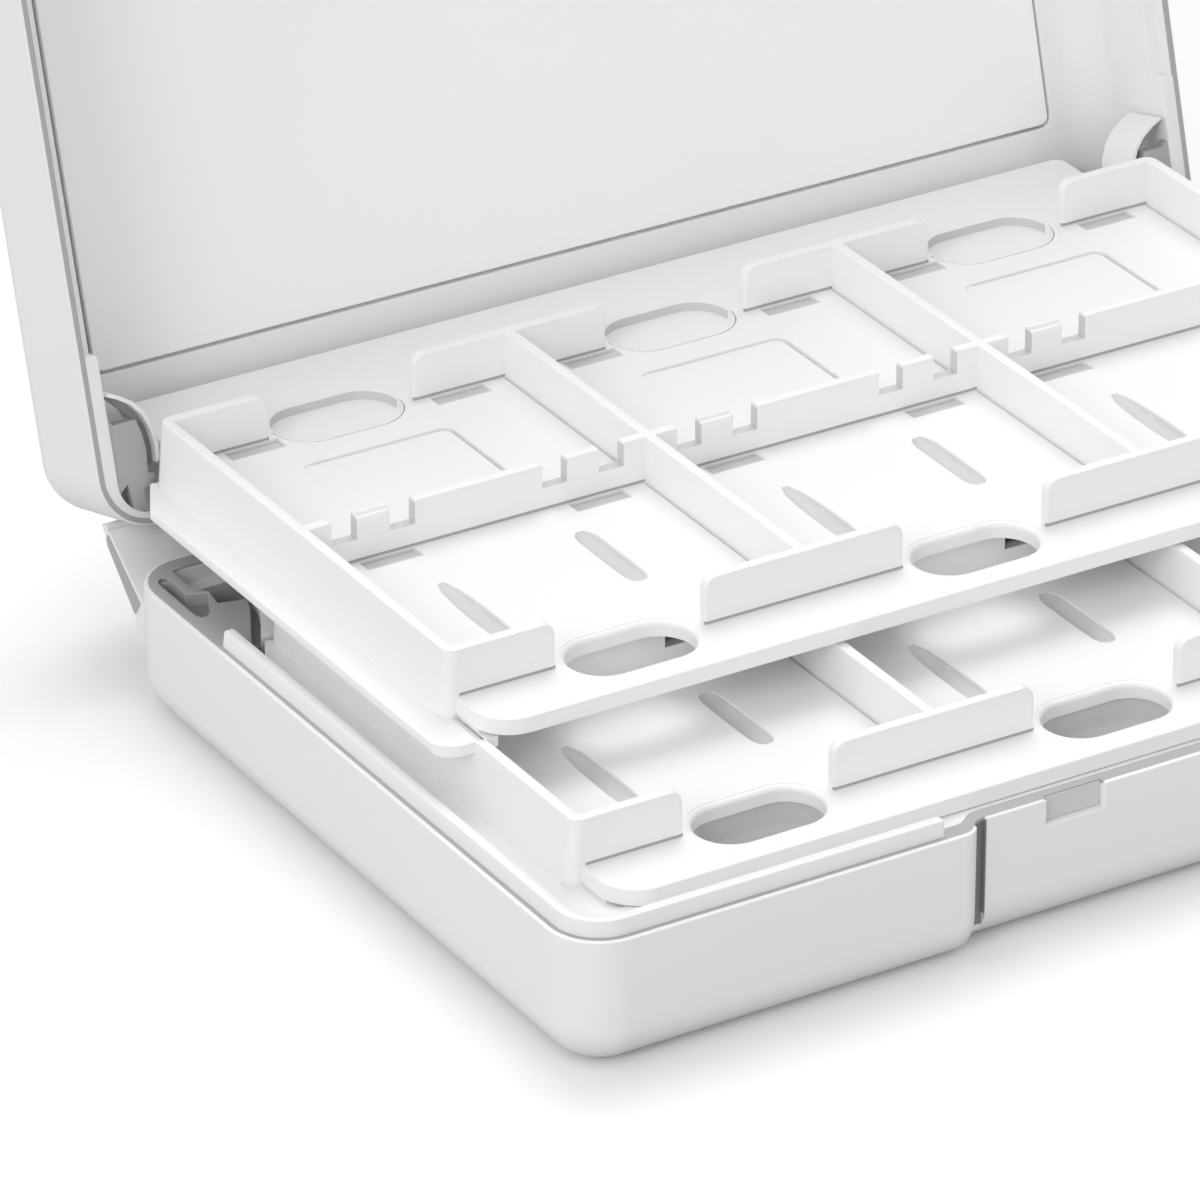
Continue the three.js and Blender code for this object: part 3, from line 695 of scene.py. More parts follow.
def tray_detail(sizes):
    """Finger holes, recesses, notches, windows and foot lines of the tray."""
    floor = -sizes.pocket_height
    above = floor + 0.5
    groove = sizes.foot_groove
    half = sizes.pocket_width / 2
    rear_face = TRAY_REAR - sizes.wall
    cuts = []
    for cx in COLUMNS:
        recess = round_rect(cx - RECESS_HALF, cx + RECESS_HALF, RECESS_FRONT, RECESS_REAR, RECESS_ROUND, 6)
        outer, inner = [pocket_front(cx, grow) for grow in POCKET_LINE]
        cuts += [
            finger_hole(cx, floor, floor - FLOOR_DROP - 1),
            prism_z(pocket_outline(cx, 0), floor - POCKET_SINK, above),
            prism_z(recess, floor - RECESS_SINK, above),
            prism_z(outer + inner[::-1], floor - GROOVE_SINK, floor + 0.1),
            prism_z(recess_line(cx), floor - LINE_SINK, floor - 0.1),
        ]
        cuts += trough_cuts(cx, floor)
        for side in (-1, 1):
            tab = cx + side * TAB_CENTRE
            for edge in (-1, 1):
                x0, x1 = notch_span(tab, edge)
                cuts.append(block(x0, x1, -1, sizes.wall + 1, -NOTCH_DROP, 1))
            left = tab - TAB_WIDTH / 2
            for face in (0.0, rear_face):
                cuts.append(block(
                    left, left + WINDOW_WIDTH, face - groove - WINDOW_DEPTH, face,
                    floor - WINDOW_SINK, floor + 0.6))
        cuts.append(lead_in(cx))
        for y0, y1 in ((TRAY_FRONT + sizes.wall, -groove), (sizes.wall, rear_face)):
            cuts.append(block(cx + half - groove, cx + half, y0, y1, floor - GROOVE_SINK, floor + 0.1))
    for x0, x1, face in foot_runs(sizes):
        cuts.append(block(x0, x1, face - 0.05, face + RELIEF, floor, floor + RELIEF))
    return cuts


def build_tray(name, place, body, node):
    """One tray, finished and in place."""
    sizes = bpy.context.scene.card_case_sizes
    solids, corners = tray_main(sizes)
    obj = solid_object(name, solids[:1])
    combine(obj, solids[1:], "UNION")
    combine(obj, corners, "DIFFERENCE")
    floor = -sizes.pocket_height
    soften(obj, sizes.edge_round, lambda at: at.z > floor - 0.05 or abs(at.x) > FLANGE_HALF - 0.1)
    combine(obj, tray_detail(sizes), "DIFFERENCE")
    finish_piece(obj, TRAY, body, [node], place)


def row_tree():
    """Node tree that sets copies of a mesh in a row along X, and the keys of its count, first X and pitch."""
    tree = bpy.data.node_groups.new("row along x", "GeometryNodeTree")
    keys = []
    for name, kind in (("Geometry", "Geometry"), ("Count", "Int"), ("First", "Float"), ("Pitch", "Float")):
        socket = tree.interface.new_socket(name, in_out="INPUT", socket_type=f"NodeSocket{kind}")
        keys.append(socket.identifier)
    tree.interface.new_socket("Geometry", in_out="OUTPUT", socket_type="NodeSocketGeometry")
    given = add_node(tree, "NodeGroupInput").outputs
    start = add_node(tree, "ShaderNodeCombineXYZ", {"X": given["First"]})
    step = add_node(tree, "ShaderNodeCombineXYZ", {"X": given["Pitch"]})
    row = add_node(
        tree, "GeometryNodeMeshLine", {"Count": given["Count"], "Start Location": start, "Offset": step})
    copies = add_node(
        tree, "GeometryNodeInstanceOnPoints", {"Points": row, "Instance": given["Geometry"]})
    real = add_node(tree, "GeometryNodeRealizeInstances", {"Geometry": copies})
    add_node(tree, "NodeGroupOutput", {"Geometry": real})
    return tree, keys[1:]


def set_in_columns(obj):
    """Repeats the object's mesh in each column of a tray and makes the result a plain mesh."""
    tree, keys = row_tree()
    step = obj.modifiers.new("row", "NODES")
    step.node_group = tree
    for key, value in zip(keys, (len(COLUMNS), COLUMNS[0], COLUMNS[1] - COLUMNS[0])):
        step[key] = value
    bake(obj)


def build_cups():
    """Finger cups below the holes of the lower tray, in one row, grey with painted shade."""
    floor = -bpy.context.scene.card_case_sizes.pocket_height
    rings = []
    for inset, rise in CUP_PROFILE:
        half = CUP_HALF - inset
        reach = CUP_REACH - inset
        outline = round_rect(-half, half, TRAY_FRONT - reach, TRAY_FRONT + reach, CUP_ROUND - inset, 8)
        rings.append([(x, y, floor + rise) for x, y in outline])
    obj = solid_object("lower_finger_cups", [loft(rings)])
    set_in_columns(obj)
    finish_piece(obj, CUT_SHADE, "base", place=LOWER_PLACE)


def build_foot_lines(name, place, body):
    """Painted shadow lines of a tray: grey strips in the bottoms of the relief slots at the wall feet."""
    sizes = bpy.context.scene.card_case_sizes
    low = -sizes.pocket_height + SKIN / 2
    high = -sizes.pocket_height + RELIEF - SKIN / 2
    shapes = [
        block(x0 + SKIN, x1 - SKIN, face + 2 * SKIN, face + RELIEF + SKIN, low, high)
        for x0, x1, face in foot_runs(sizes)
    ]
    plain_piece(name, shapes, SHADE_GREY, body, place=place)


def build_shade_linings(name, place, body):
    """Painted shade on the cut faces of a tray: grey linings on the finger pockets' rear walls, troughs,
    notches and windows.
    """
    sizes = bpy.context.scene.card_case_sizes
    floor = -sizes.pocket_height
    groove = sizes.foot_groove
    wall_in = [point for point in pocket_outline(0, -SKIN) if point[1] >= TRAY_REAR]
    wall_out = [point for point in pocket_outline(0, SKIN) if point[1] >= TRAY_REAR]
    shapes = [prism_z(wall_out + wall_in[::-1], floor - POCKET_SINK - SKIN, floor - 0.04)]
    shapes += trough_linings(floor)
    low = -NOTCH_DROP
    high = -sizes.edge_round
    for side in (-1, 1):
        tab = side * TAB_CENTRE
        for edge in (-1, 1):
            x0, x1 = notch_span(tab, edge)
            lining = [
                (x0 - SKIN, high), (x0 - SKIN, low - SKIN), (x1 + SKIN, low - SKIN), (x1 + SKIN, high),
                (x1 - SKIN, high), (x1 - SKIN, low + SKIN), (x0 + SKIN, low + SKIN), (x0 + SKIN, high),
            ]
            shapes.append(prism_y(lining, 2 * SKIN, sizes.wall - 2 * SKIN))
        # Floors of the tabs' windows, which stop short of the wall
        left = tab - TAB_WIDTH / 2
        for face in (0.0, TRAY_REAR - sizes.wall):
            shapes.append(block(
                left + SKIN, left + WINDOW_WIDTH - SKIN, face - groove - WINDOW_DEPTH + SKIN, face - groove,
                floor - WINDOW_SINK - SKIN, floor - 0.3))
    obj = solid_object(name, shapes)
    combine(obj, [lead_in(0)], "DIFFERENCE")
    set_in_columns(obj)
    finish_piece(obj, CUT_SHADE, body, place=place)


class CARDCASE_OT_trays(bpy.types.Operator):
    """Builds the lower and the upper tray."""

    bl_idname = "card_case.trays"
    bl_label = "Trays"

    def execute(self, context):
        build_tray("lower_card_tray", LOWER_PLACE, "base", "lower_tray")
        build_tray("upper_card_tray", UPPER_PLACE, "tray", "upper_tray")
        for build, word in ((build_shade_linings, "shade_linings"), (build_foot_lines, "foot_lines")):
            build(f"lower_tray_{word}", LOWER_PLACE, "base")
            build(f"upper_tray_{word}", UPPER_PLACE, "tray")
        build_cups()
        return {"FINISHED"}


# Thumb recess in the base's front: its depth, and the step at its left end as X and depth
THUMB_SINK = 1.5
THUMB_STEP = (
    (-20.6, 0.0), (-20.1, 0.04), (-19.7, 0.16), (-19.3, 0.42), (-19.0, 0.75), (-18.7, 1.08), (-18.3, 1.34),
    (-17.9, 1.46), (-17.4, 1.5),
)
THUMB_FACE = -HALF_Y + THUMB_SINK
# Groove beside the recess: both sides in X, depth and foot
THUMB_GROOVE = (-19.0, -17.5)
THUMB_GROOVE_SINK = 0.65
THUMB_GROOVE_FOOT = 0.8
# Distances from the middle: edges nearer than the first are rounded, those between the other two are not
LATCH_ZONE = 12.0
GROOVE_ZONE = (17.2, 19.8)
# Latch pockets in the recess
LATCHES = (-8.6, 8.6)
LATCH_HALF = 2.85
LATCH_DROP = 2.4
LATCH_SINK = 0.8
# Inside of the base: shelf under the lower tray, and the well below it
SHELF = RIM - 1.7
WELL_INSET = 3.5
WELL_FLOOR = 1.6
LIP_SINK = 1.2
WELL_SINK = 0.4
# The lip ends at this Y, has a gap of this half width at the thumb recess, and this play in the lid
LIP_END = 22.0
LIP_GAP = 22.0
LIP_PLAY = 0.3
# Rail in front of the lower tray
RAIL_HALF = 53.2
RAIL_FRONT = -HALF_Y + WALL + 0.25
RAIL_REAR = -33.2


def shell_outline(inset, sink=0.0, inset_y=None):
    """Outline of the case at an inset, its front edge stepped back for the thumb."""
    inset_y = inset if inset_y is None else inset_y
    x = HALF_X - inset
    y = HALF_Y - inset_y
    outline = round_rect(-x, x, -y, y, max(CORNER - inset, 0.4), 10)
    step = [(px, -y + depth / THUMB_SINK * sink) for px, depth in THUMB_STEP]
    return outline + step + [(-px, py) for px, py in step[::-1]]


def shell_rings(profile):
    """Rings of a shell from rows of inset, height and, where needed, recess depth and another inset in Y."""
    return [[(x, y, z) for x, y in shell_outline(inset, *more)] for inset, z, *more in profile]


def band(outer, inner, z0, z1):
    """Flat ring between two outlines of the same number of points."""
    count = len(outer)
    points = [(x, y, z) for z in (z0, z1) for ring in (outer, inner) for x, y in ring]
    faces = []
    for i in range(count):
        j = (i + 1) % count
        # Top, bottom, outside and inside, each between two of the four rings
        for a, b, p, q in ((2, 3, i, j), (0, 1, j, i), (0, 2, i, j), (1, 3, j, i)):
            faces.append([a * count + p, a * count + q, b * count + q, b * count + p])
    return points, faces


def quarter(radius, start_inset, start_z, down):
    """Inset and height along a quarter round that begins at the flat end of a shell."""
    sign = -1 if down else 1
    steps = 8
    points = []
    for i in range(steps + 1):
        turn = math.radians(90 * i / steps)
        points.append((
            start_inset + radius * (1 - math.sin(turn)), start_z + sign * radius * (1 - math.cos(turn))))
    return points


# Corner pieces at the left rear, as plan outlines in the closed case
BLOCK_EDGE = [(-54.1, 21.8), (-53.5, 23.0), (-52.7, 24.4), (-51.9, 25.9), (-51.3, 27.2), (-50.95, 28.4)]
BLOCK_OUTLINE = [(-57.3, 22.2), (-55.6, 22.2), (-55.6, 21.8)] + BLOCK_EDGE + [
    (-53.4, 29.0), (-53.0, 31.3), (-54.0, 32.7), (-53.9, 37.9), (-54.6, 37.6), (-55.6, 37.0), (-56.4, 36.2),
    (-57.0, 35.0), (-57.3, 33.5),
]
HOOK_SLOT = [
    (-56.2, 28.0), (-55.9, 27.3), (-55.1, 27.6), (-54.6, 28.2), (-53.3, 31.1), (-55.05, 31.9), (-54.9, 34.4),
    (-55.05, 35.15), (-55.45, 35.45), (-55.9, 35.2), (-56.15, 34.6),
]
# Post inside the block, and the slit between the two
POST_EDGE = [(-53.2, 21.8), (-52.3, 23.4), (-51.5, 24.9), (-50.9, 26.3), (-50.45, 27.6), (-50.4, 28.3)]
POST_OUTLINE = [(-50.3, 21.8), (-50.3, 28.3)] + POST_EDGE[::-1]
SLIT_OUTLINE = POST_EDGE + BLOCK_EDGE[::-1]
# Web of the lid's corner, its hole, and the shaded face behind that
WEB_EDGE = [(-53.0, 28.8), (-52.6, 30.2), (-52.45, 31.6), (-52.6, 33.7)]
WEB_OUTLINE = [(-57.0, 23.0), (-56.1, 23.0), (-55.9, 25.4), (-55.8, 28.2), (-55.2, 28.8)] + WEB_EDGE + [
    (-51.9, 33.9), (-52.3, 34.8), (-53.2, 35.0), (-53.2, 36.9), (-54.6, 36.9), (-55.9, 36.4), (-56.7, 35.3),
    (-57.0, 33.8),
# Web of the lid's corner, its hole, and the dark plate of painted shade behind that
]
WEB_HOLE = [
    (-55.5, 34.9), (-54.75, 34.3), (-54.55, 36.0), (-54.5, 36.5), (-54.9, 36.45), (-55.3, 36.0),
    (-55.5, 35.4),
]
WEB_HOLE_BACK = [(-55.7, 34.1), (-54.3, 34.1), (-54.3, 36.7), (-55.7, 36.7)]
# Arc wall beside the web: its face, the way across to its other face, and the slit towards the web
ARC_LINE = [
    (-55.5, 26.2), (-54.4, 26.7), (-53.3, 27.45), (-52.4, 28.5), (-51.8, 29.9), (-51.55, 31.6),
    (-51.65, 33.0),
]
ARC_ACROSS = (0.36, -0.225)
ARC_WALL = ARC_LINE + [(x + ARC_ACROSS[0], y + ARC_ACROSS[1]) for x, y in ARC_LINE[::-1]]
ARC_SLIT = ARC_LINE + WEB_EDGE[::-1]
# Depth of a corner block, and height of the lid's web over the base's rim in the closed case
BLOCK_SINK = 1.4
WEB_LIFT = 0.35
FEATURE_EDGE = 0.12


def corner_pieces(name, outline, z0, z1, finish, body, edge=FEATURE_EDGE, holes=(), nodes=()):
    """Left and right piece of a plan outline in the closed case, as one object each."""
    place = LID_OPEN if body == "lid" else None
    for side, word in ((1, "left"), (-1, "right")):
        shape = prism_z(outline, z0, z1)
        obj = solid_object(f"{name}_{word}", [shape if side == 1 else mirrored(shape)])
        if holes:
            cuts = [prism_z(hole, z0 - 0.5, z1 + 0.5) for hole in holes]
            combine(obj, [cut if side == 1 else mirrored(cut) for cut in cuts], "DIFFERENCE")
        if edge:
            soften(obj, edge)
        finish_piece(obj, finish, body, [f"{node}_{word}" for node in nodes], place)


def latch_pockets():
    """Cuts for the two latch pockets."""
    y0 = THUMB_FACE - 1
    y1 = THUMB_FACE + LATCH_SINK
    return [block(x - LATCH_HALF, x + LATCH_HALF, y0, y1, RIM - LATCH_DROP, RIM + 1) for x in LATCHES]


def base_edge_shows(at):
    """Whether a corner of the base has its edges rounded: rim and latch pockets, not the thumb grooves."""
    out = abs(at.x)
    if out < LATCH_ZONE:
        return True
    return at.z > RIM - 0.1 and not GROOVE_ZONE[0] <= out <= GROOVE_ZONE[1]


class CARDCASE_OT_base(bpy.types.Operator):
    """Builds the base shell with its ledge, lip, thumb recess and latch pockets."""

    bl_idname = "card_case.base"
    bl_label = "Base shell"

    def execute(self, context):
        sizes = context.scene.card_case_sizes
        sink = THUMB_SINK
        face = THUMB_FACE
        profile = [(inset, z, sink) for inset, z in quarter(EDGE, 0, 0, False)]
        profile += [
            (0, RIM, sink), (0.8, RIM, sink), (0.95, LIP_TOP, sink), (WALL, LIP_TOP, LIP_SINK),
            (WALL, SHELF, LIP_SINK), (WELL_INSET, SHELF, WELL_SINK), (WELL_INSET, WELL_FLOOR, WELL_SINK),
        ]
        obj = solid_object("base_tub", [loft(shell_rings(profile))])
        slot = prism_z(HOOK_SLOT, RIM - 1.5, RIM + 1)
        slots = [slot, mirrored(slot)]
        combine(obj, [
            block(-HALF_X - 1, HALF_X + 1, LIP_END, HALF_Y + 1, RIM, LIP_TOP + 1),
            block(-LIP_GAP, LIP_GAP, -HALF_Y - 1, 0, RIM, LIP_TOP + 1),
        ] + slots, "DIFFERENCE")
        groove = block(*THUMB_GROOVE, face - 1.0, face + THUMB_GROOVE_SINK, THUMB_GROOVE_FOOT, RIM + 1)
        combine(obj, latch_pockets() + [groove, mirrored(groove)], "DIFFERENCE")
        soften(obj, sizes.edge_round, base_edge_shows)
        finish_piece(obj, SHELL, "base", ["base_shell"])
        # Painted shade: a grey strip along the ledge's parting face
        outer = shell_outline(0.4, sink)
        inner = shell_outline(1.95, LIP_SINK)
        ledge = solid_object("base_ledge_shade", [band(outer, inner, RIM - 0.3, RIM + 0.02)])
        combine(ledge, latch_pockets() + slots, "DIFFERENCE")
        finish_piece(ledge, SHADE_GREY, "base")
        # Painted shade: grey backs in the latch pockets
        half = LATCH_HALF - 0.05
        backs = [block(x - half, x + half, face + 0.7, face + 0.85, RIM - 2.35, RIM - 0.1) for x in LATCHES]
        plain_piece("latch_pocket_backs", backs, CUT_SHADE, "base")
        # Painted shade: dark plates on the bottom and inner side of the grooves beside the thumb recess
        shade = [
            block(-18.95, -17.48, face + 0.58, face + 0.67, 2.2, RIM - 0.15),
            block(-17.58, -17.49, face + 0.05, face + 0.6, 3.4, RIM - 0.16),
        ]
        shade += [mirrored(shape) for shape in shade]
        plain_piece("thumb_recess_grooves", shade, SHADED, "base")
        # Rail that closes the front trench below the lower tray
        rail = block(-RAIL_HALF, RAIL_HALF, RAIL_FRONT, RAIL_REAR, SHELF - 0.2, RIM - 0.2)
        plain_piece("base_front_rail", [rail], SHELL, "base", edge=FEATURE_EDGE)
        return {"FINISHED"}


class CARDCASE_OT_corners(bpy.types.Operator):
    """Builds the hooked corner blocks of the base and the corner webs of the lid."""

    bl_idname = "card_case.corners"
    bl_label = "Corner pieces"

    def execute(self, context):
        # Painted shade: the corner blocks and webs are grey, and the plates in their slot, slits and hole
        # dark
        low = RIM - BLOCK_SINK
        corner_pieces(
            "base_corner", BLOCK_OUTLINE, low, RIM + 0.03, SHADE_GREY, "base", holes=[HOOK_SLOT],
            nodes=["base_corner_block"])
        corner_pieces("base_corner_slot", HOOK_SLOT, RIM - 1.45, RIM - 1.2, SHADED, "base", 0)
        corner_pieces("base_corner_slit", SLIT_OUTLINE, low, RIM - 1.0, SHADED, "base", 0)
        corner_pieces("base_corner_post", POST_OUTLINE, RIM - 4.0, RIM, SHELL, "base")
        web = RIM + WEB_LIFT
        corner_pieces(
            "lid_corner", WEB_OUTLINE, web, web + 1.3, SHADE_GREY, "lid", holes=[WEB_HOLE],
            nodes=["lid_corner_plate"])
        corner_pieces("lid_corner_hole", WEB_HOLE_BACK, web + 1.1, web + 1.5, SHADED, "lid", 0)
        corner_pieces("lid_corner_arc", ARC_WALL, web, web + 5.0, SHELL, "lid", 0.08)
        corner_pieces("lid_corner_slit", ARC_SLIT, web + 1.0, web + 1.4, SHADED, "lid", 0)
        return {"FINISHED"}


# Lid: wall at its two ends, lower edge, inner rounding, and the rebate that takes the base's lip
LID_END_WALL = 1.2
LID_RIM = RIM + 0.1
LID_ROUND = 4.0
REBATE_INSET = 0.7
REBATE_RISE = 1.8
# Half widths in X and Y: the frame's opening, the seat in it and the panel
FRAME_OPENING = (48.8, 25.0)
PANEL_SEAT = (50.8, 27.0)
PANEL_HALF = (50.5, 26.7)
PANEL_THICK = 0.7
PANEL_EDGE = 0.1
SEAT_SINK = 1.0


def plate(half, radius, z0, z1):
    """Flat plate about the middle of the case, with round corners."""
    x, y = half
    return prism_z(round_rect(-x, x, -y, y, radius, 4), z0, z1)


class CARDCASE_OT_lid(bpy.types.Operator):
    """Builds the lid shell with its rebated rim and window frame, and the blank panel."""

    bl_idname = "card_case.lid"
    bl_label = "Lid"

    def execute(self, context):
        sizes = context.scene.card_case_sizes
        thinner = WALL - LID_END_WALL
        profile = quarter(EDGE, 0, LID_TOP, True) + [(0, LID_RIM), (WALL, LID_RIM, 0, LID_END_WALL)]
        inside = quarter(LID_ROUND, WALL, CEILING, True)
        profile += [(inset, z, 0, inset - thinner) for inset, z in inside[::-1]]
        obj = solid_object("lid_cover", [loft(shell_rings(profile))])
        rebate = solid_object("rebate", [
            prism_z(shell_outline(REBATE_INSET), RIM - 1, RIM + REBATE_RISE)])
        combine(rebate, [
            block(-HALF_X, HALF_X, LIP_END + LIP_PLAY, HALF_Y, RIM - 2, RIM + 3),
            block(-LIP_GAP + LIP_PLAY, LIP_GAP - LIP_PLAY, -HALF_Y, 0, RIM - 2, RIM + 3),
        ], "DIFFERENCE")
        points = [tuple(v.co) for v in rebate.data.vertices]
        faces = [list(p.vertices) for p in rebate.data.polygons]
        bpy.data.objects.remove(rebate)
        cuts = [
            (points, faces),
            plate(PANEL_SEAT, 1.0, CEILING - 1, CEILING + SEAT_SINK),
            plate(FRAME_OPENING, 1.0, CEILING - 1, LID_TOP + 1),
        ]
        combine(obj, cuts, "DIFFERENCE")
        soften(obj, sizes.edge_round)
        finish_piece(obj, SHELL, "lid", ["lid_shell"], LID_OPEN)
        # Painted shade: a grey strip along the lid's rim
        strip = band(shell_outline(0.2), shell_outline(0.68), LID_RIM - 0.02, LID_RIM + 0.2)
        plain_piece("lid_rim_shade", [strip], SHADE_GREY, "lid", place=LID_OPEN)
        panel = plate(PANEL_HALF, 0.8, CEILING, CEILING + PANEL_THICK)
        plain_piece("lid_panel", [panel], PANEL, "lid", ["lid_window"], LID_OPEN, PANEL_EDGE)
        return {"FINISHED"}


# Strap in the closed case, upright behind the base
STRAP_HALF = HALF_X - 2.0
STRAP_FRONT = HALF_Y + 0.3
STRAP_REAR = HALF_Y + 2.1
STRAP_PLAY = 0.15
# Folds in Y and Z: the base's at rest, the lid's as its edge on the strap and its edge on the closed lid
BASE_FOLD = [(38.34, 8.8), (38.34, 4.4), (38.7, 4.3), (39.2, 5.0), (40.0, 6.6), (38.75, 8.45)]
FOLD_ON_STRAP = ((38.95, 16.0), (39.5, 16.0))
FOLD_ON_LID = ((38.25, 17.4), (38.25, 16.3))


class CARDCASE_OT_strap(bpy.types.Operator):
    """Builds the folding strap, its two thin folds and the finish of the latch tongues."""

    bl_idname = "card_case.strap"
    bl_label = "Strap, folds and tongues"

    def execute(self, context):
        low = BASE_HINGE.z + STRAP_PLAY
        high = CLOSED_HINGE.z - STRAP_PLAY
        front = STRAP_FRONT
        rear = STRAP_REAR
        section = [
            (front, low), (rear + 0.3, low), (rear + 0.6, low + 0.3), (rear - 0.2, high - 0.7),
            (rear - 0.4, high - 0.2), (rear - 0.8, high), (front, high),
        ]
        strap = prism_x(section, -STRAP_HALF, STRAP_HALF)
        plain_piece("fold_strap", [strap], SHELL, "strap", ["spine_strap"], STRAP_OPEN, FEATURE_EDGE)
        # Painted shade: grey caps on the strap's ends
        inset = 0.25
        ends = [
            (front + inset, low + 0.1), (rear + 0.35, low + 0.1), (rear - 0.45, high - 0.8),
            (rear - 0.9, high - inset), (front + inset, high - inset),
        ]
        for x, word in ((-STRAP_HALF, "left"), (STRAP_HALF, "right")):
            cap = prism_x(ends, x - SKIN, x + SKIN)
            plain_piece(f"strap_end_shade_{word}", [cap], SHADE_GREY, "strap", place=STRAP_OPEN)
        # Fold of the base's hinge line, at rest and tied to no body
        fold = prism_x(BASE_FOLD, -STRAP_HALF, STRAP_HALF)
        film = plain_piece("hinge_film_base", [fold], SHELL, None)
        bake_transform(film)
        # Fold of the lid's hinge line, from the strap's end to the lid's rear wall
        edges = [STRAP_OPEN @ Vector((0, y, z)) for y, z in FOLD_ON_STRAP]
        edges += [LID_OPEN @ Vector((0, y, z)) for y, z in FOLD_ON_LID]
        fold = prism_x([(at.y, at.z) for at in edges], -STRAP_HALF, STRAP_HALF)
        film = plain_piece("hinge_film_lid", [fold], SHELL, None)
        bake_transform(film)
        for node in ("latch_tongue_left", "latch_tongue_right"):
            obj = frame["nodes"][node]
            obj.data.materials.clear()
            obj.data.materials.append(finish_named(SHELL))
        return {"FINISHED"}


# Camera in metres, degrees and millimetres
CAMERA_PLACE = Vector((-0.35951, -0.54104, 0.35765))
CAMERA_TURN = (61.904, 0.0, -31.152)
CAMERA_LENS = 255.0
CAMERA_SENSOR = 36.0
CAMERA_SIGHT = 20.0
# Stage floor: half side, bottom and top, share of its colour that lights the case, and its glow to the eye
STAGE_SIDE = 6000
STAGE_LEVEL = (-4, -0.02)
STAGE_BOUNCE = 0.65
STAGE_LIFT = 0.03
# Tent of soft light: its level, and how that grows along X, Y and Z
TENT_LEVEL = 0.63
TENT_SLOPE = (-0.29, -0.12, 0.12)
# Name, power, spread in degrees and the way the light travels
LAMPS = (
    ("overhead softbox", 1.05, 36.0, (-0.3, -0.42, -1.0)),
    ("side fill", 0.5, 20.0, (0.72, 0.46, -0.5)),
)


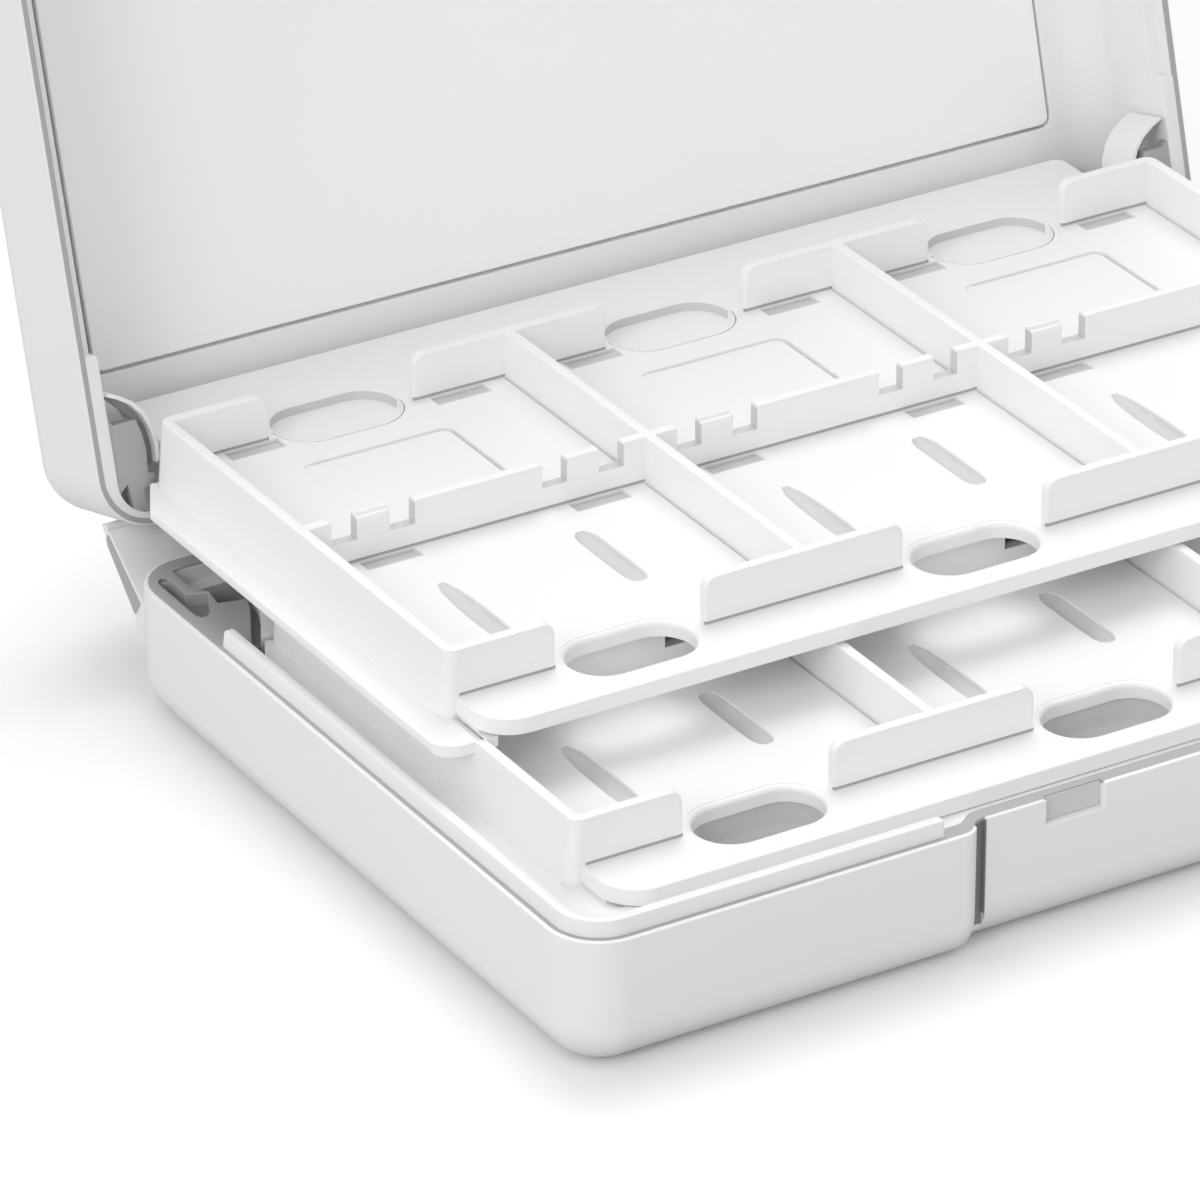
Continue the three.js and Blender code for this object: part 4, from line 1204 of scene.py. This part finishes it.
class CARDCASE_OT_stage(bpy.types.Operator):
    """Sets the floor, the soft light and the camera."""

    bl_idname = "card_case.stage"
    bl_label = "Stage"

    def execute(self, context):
        scene = context.scene
        scene.view_settings.view_transform = "Standard"
        colours = scene.card_case_colours
        floor = solid_object("stage_floor", [
            block(-STAGE_SIDE, STAGE_SIDE, -STAGE_SIDE, STAGE_SIDE, *STAGE_LEVEL)])
        floor.data.transform(Matrix.Scale(MM, 4))
        paint = bpy.data.materials.new("matt white stage")
        tree = emptied_tree(paint)
        # The eye sees a white floor with its shadow, and the case gets less light back from below
        eye = add_node(tree, "ShaderNodeLightPath").outputs["Is Camera Ray"]
        dim = [c * STAGE_BOUNCE for c in colours.floor]
        tone = add_node(
            tree, "ShaderNodeMix", {0: eye, 6: (*dim, 1), 7: (*colours.floor, 1)}, data_type="RGBA")
        matt = add_node(tree, "ShaderNodeBsdfDiffuse", {"Color": tone.outputs[2]})
        lift = add_node(tree, "ShaderNodeMath", {0: eye, 1: STAGE_LIFT}, operation="MULTIPLY")
        glow = add_node(tree, "ShaderNodeEmission", {"Color": (1, 1, 1, 1), "Strength": lift})
        both = add_node(tree, "ShaderNodeAddShader", {0: matt, 1: glow})
        add_node(tree, "ShaderNodeOutputMaterial", {"Surface": both})
        floor.data.materials.append(paint)

        world = bpy.data.worlds.new("studio")
        scene.world = world
        tree = emptied_tree(world)
        ray = add_node(tree, "ShaderNodeLightPath").outputs
        seen = add_node(
            tree, "ShaderNodeMath", {0: ray["Is Camera Ray"], 1: ray["Is Glossy Ray"]}, operation="MAXIMUM")
        # Stronger above, on the left and in front than on the right and behind
        place = add_node(tree, "ShaderNodeTexCoord").outputs["Generated"]
        slope = add_node(
            tree, "ShaderNodeVectorMath", {0: place, 1: TENT_SLOPE}, operation="DOT_PRODUCT")
        tent = add_node(tree, "ShaderNodeMath", {0: slope.outputs["Value"], 1: TENT_LEVEL}, operation="ADD")
        power = add_node(tree, "ShaderNodeMapRange", {"Value": seen, "To Min": tent, "To Max": 1.0})
        sky = add_node(tree, "ShaderNodeBackground", {"Color": (1, 1, 1, 1), "Strength": power})
        add_node(tree, "ShaderNodeOutputWorld", {"Surface": sky})

        for name, power, spread, aim in LAMPS:
            lamp = bpy.data.lights.new(name, "SUN")
            lamp.energy = power
            lamp.angle = math.radians(spread)
            sun = bpy.data.objects.new(name, lamp)
            sun.rotation_euler = Vector(aim).to_track_quat("-Z", "Y").to_euler()
            scene.collection.objects.link(sun)

        lens = bpy.data.cameras.new("camera")
        lens.lens = CAMERA_LENS
        lens.sensor_width = CAMERA_SENSOR
        lens.clip_end = CAMERA_SIGHT
        camera = bpy.data.objects.new("camera", lens)
        camera.location = CAMERA_PLACE
        camera.rotation_euler = [math.radians(a) for a in CAMERA_TURN]
        scene.collection.objects.link(camera)
        scene.camera = camera
        return {"FINISHED"}


class CARDCASE_PT_panel(bpy.types.Panel):
    """Lists the pieces and their sizes."""

    bl_idname = "CARDCASE_PT_panel"
    bl_label = "Card Case"
    bl_space_type = "VIEW_3D"
    bl_region_type = "UI"
    bl_category = "Card Case"

    def draw(self, context):
        for group in (context.scene.card_case_sizes, context.scene.card_case_colours):
            for key in group.__annotations__:
                self.layout.prop(group, key)
        for step in STEPS:
            self.layout.operator(step.bl_idname)


STEPS = (
    CARDCASE_OT_stage,
    CARDCASE_OT_trays,
    CARDCASE_OT_base,
    CARDCASE_OT_lid,
    CARDCASE_OT_corners,
    CARDCASE_OT_strap,
)
CLASSES = (CardCaseSizes, CardCaseColours) + STEPS + (CARDCASE_PT_panel,)


def register():
    for cls in CLASSES:
        bpy.utils.register_class(cls)
    bpy.types.Scene.card_case_sizes = bpy.props.PointerProperty(type=CardCaseSizes)
    bpy.types.Scene.card_case_colours = bpy.props.PointerProperty(type=CardCaseColours)


def unregister():
    del bpy.types.Scene.card_case_colours
    del bpy.types.Scene.card_case_sizes
    for cls in reversed(CLASSES):
        bpy.utils.unregister_class(cls)


def main():
    register()
    bpy.ops.card_case.stage()
    bpy.ops.card_case.trays()
    bpy.ops.card_case.base()
    bpy.ops.card_case.lid()
    bpy.ops.card_case.corners()
    bpy.ops.card_case.strap()


if __name__ == "__main__":
    main()
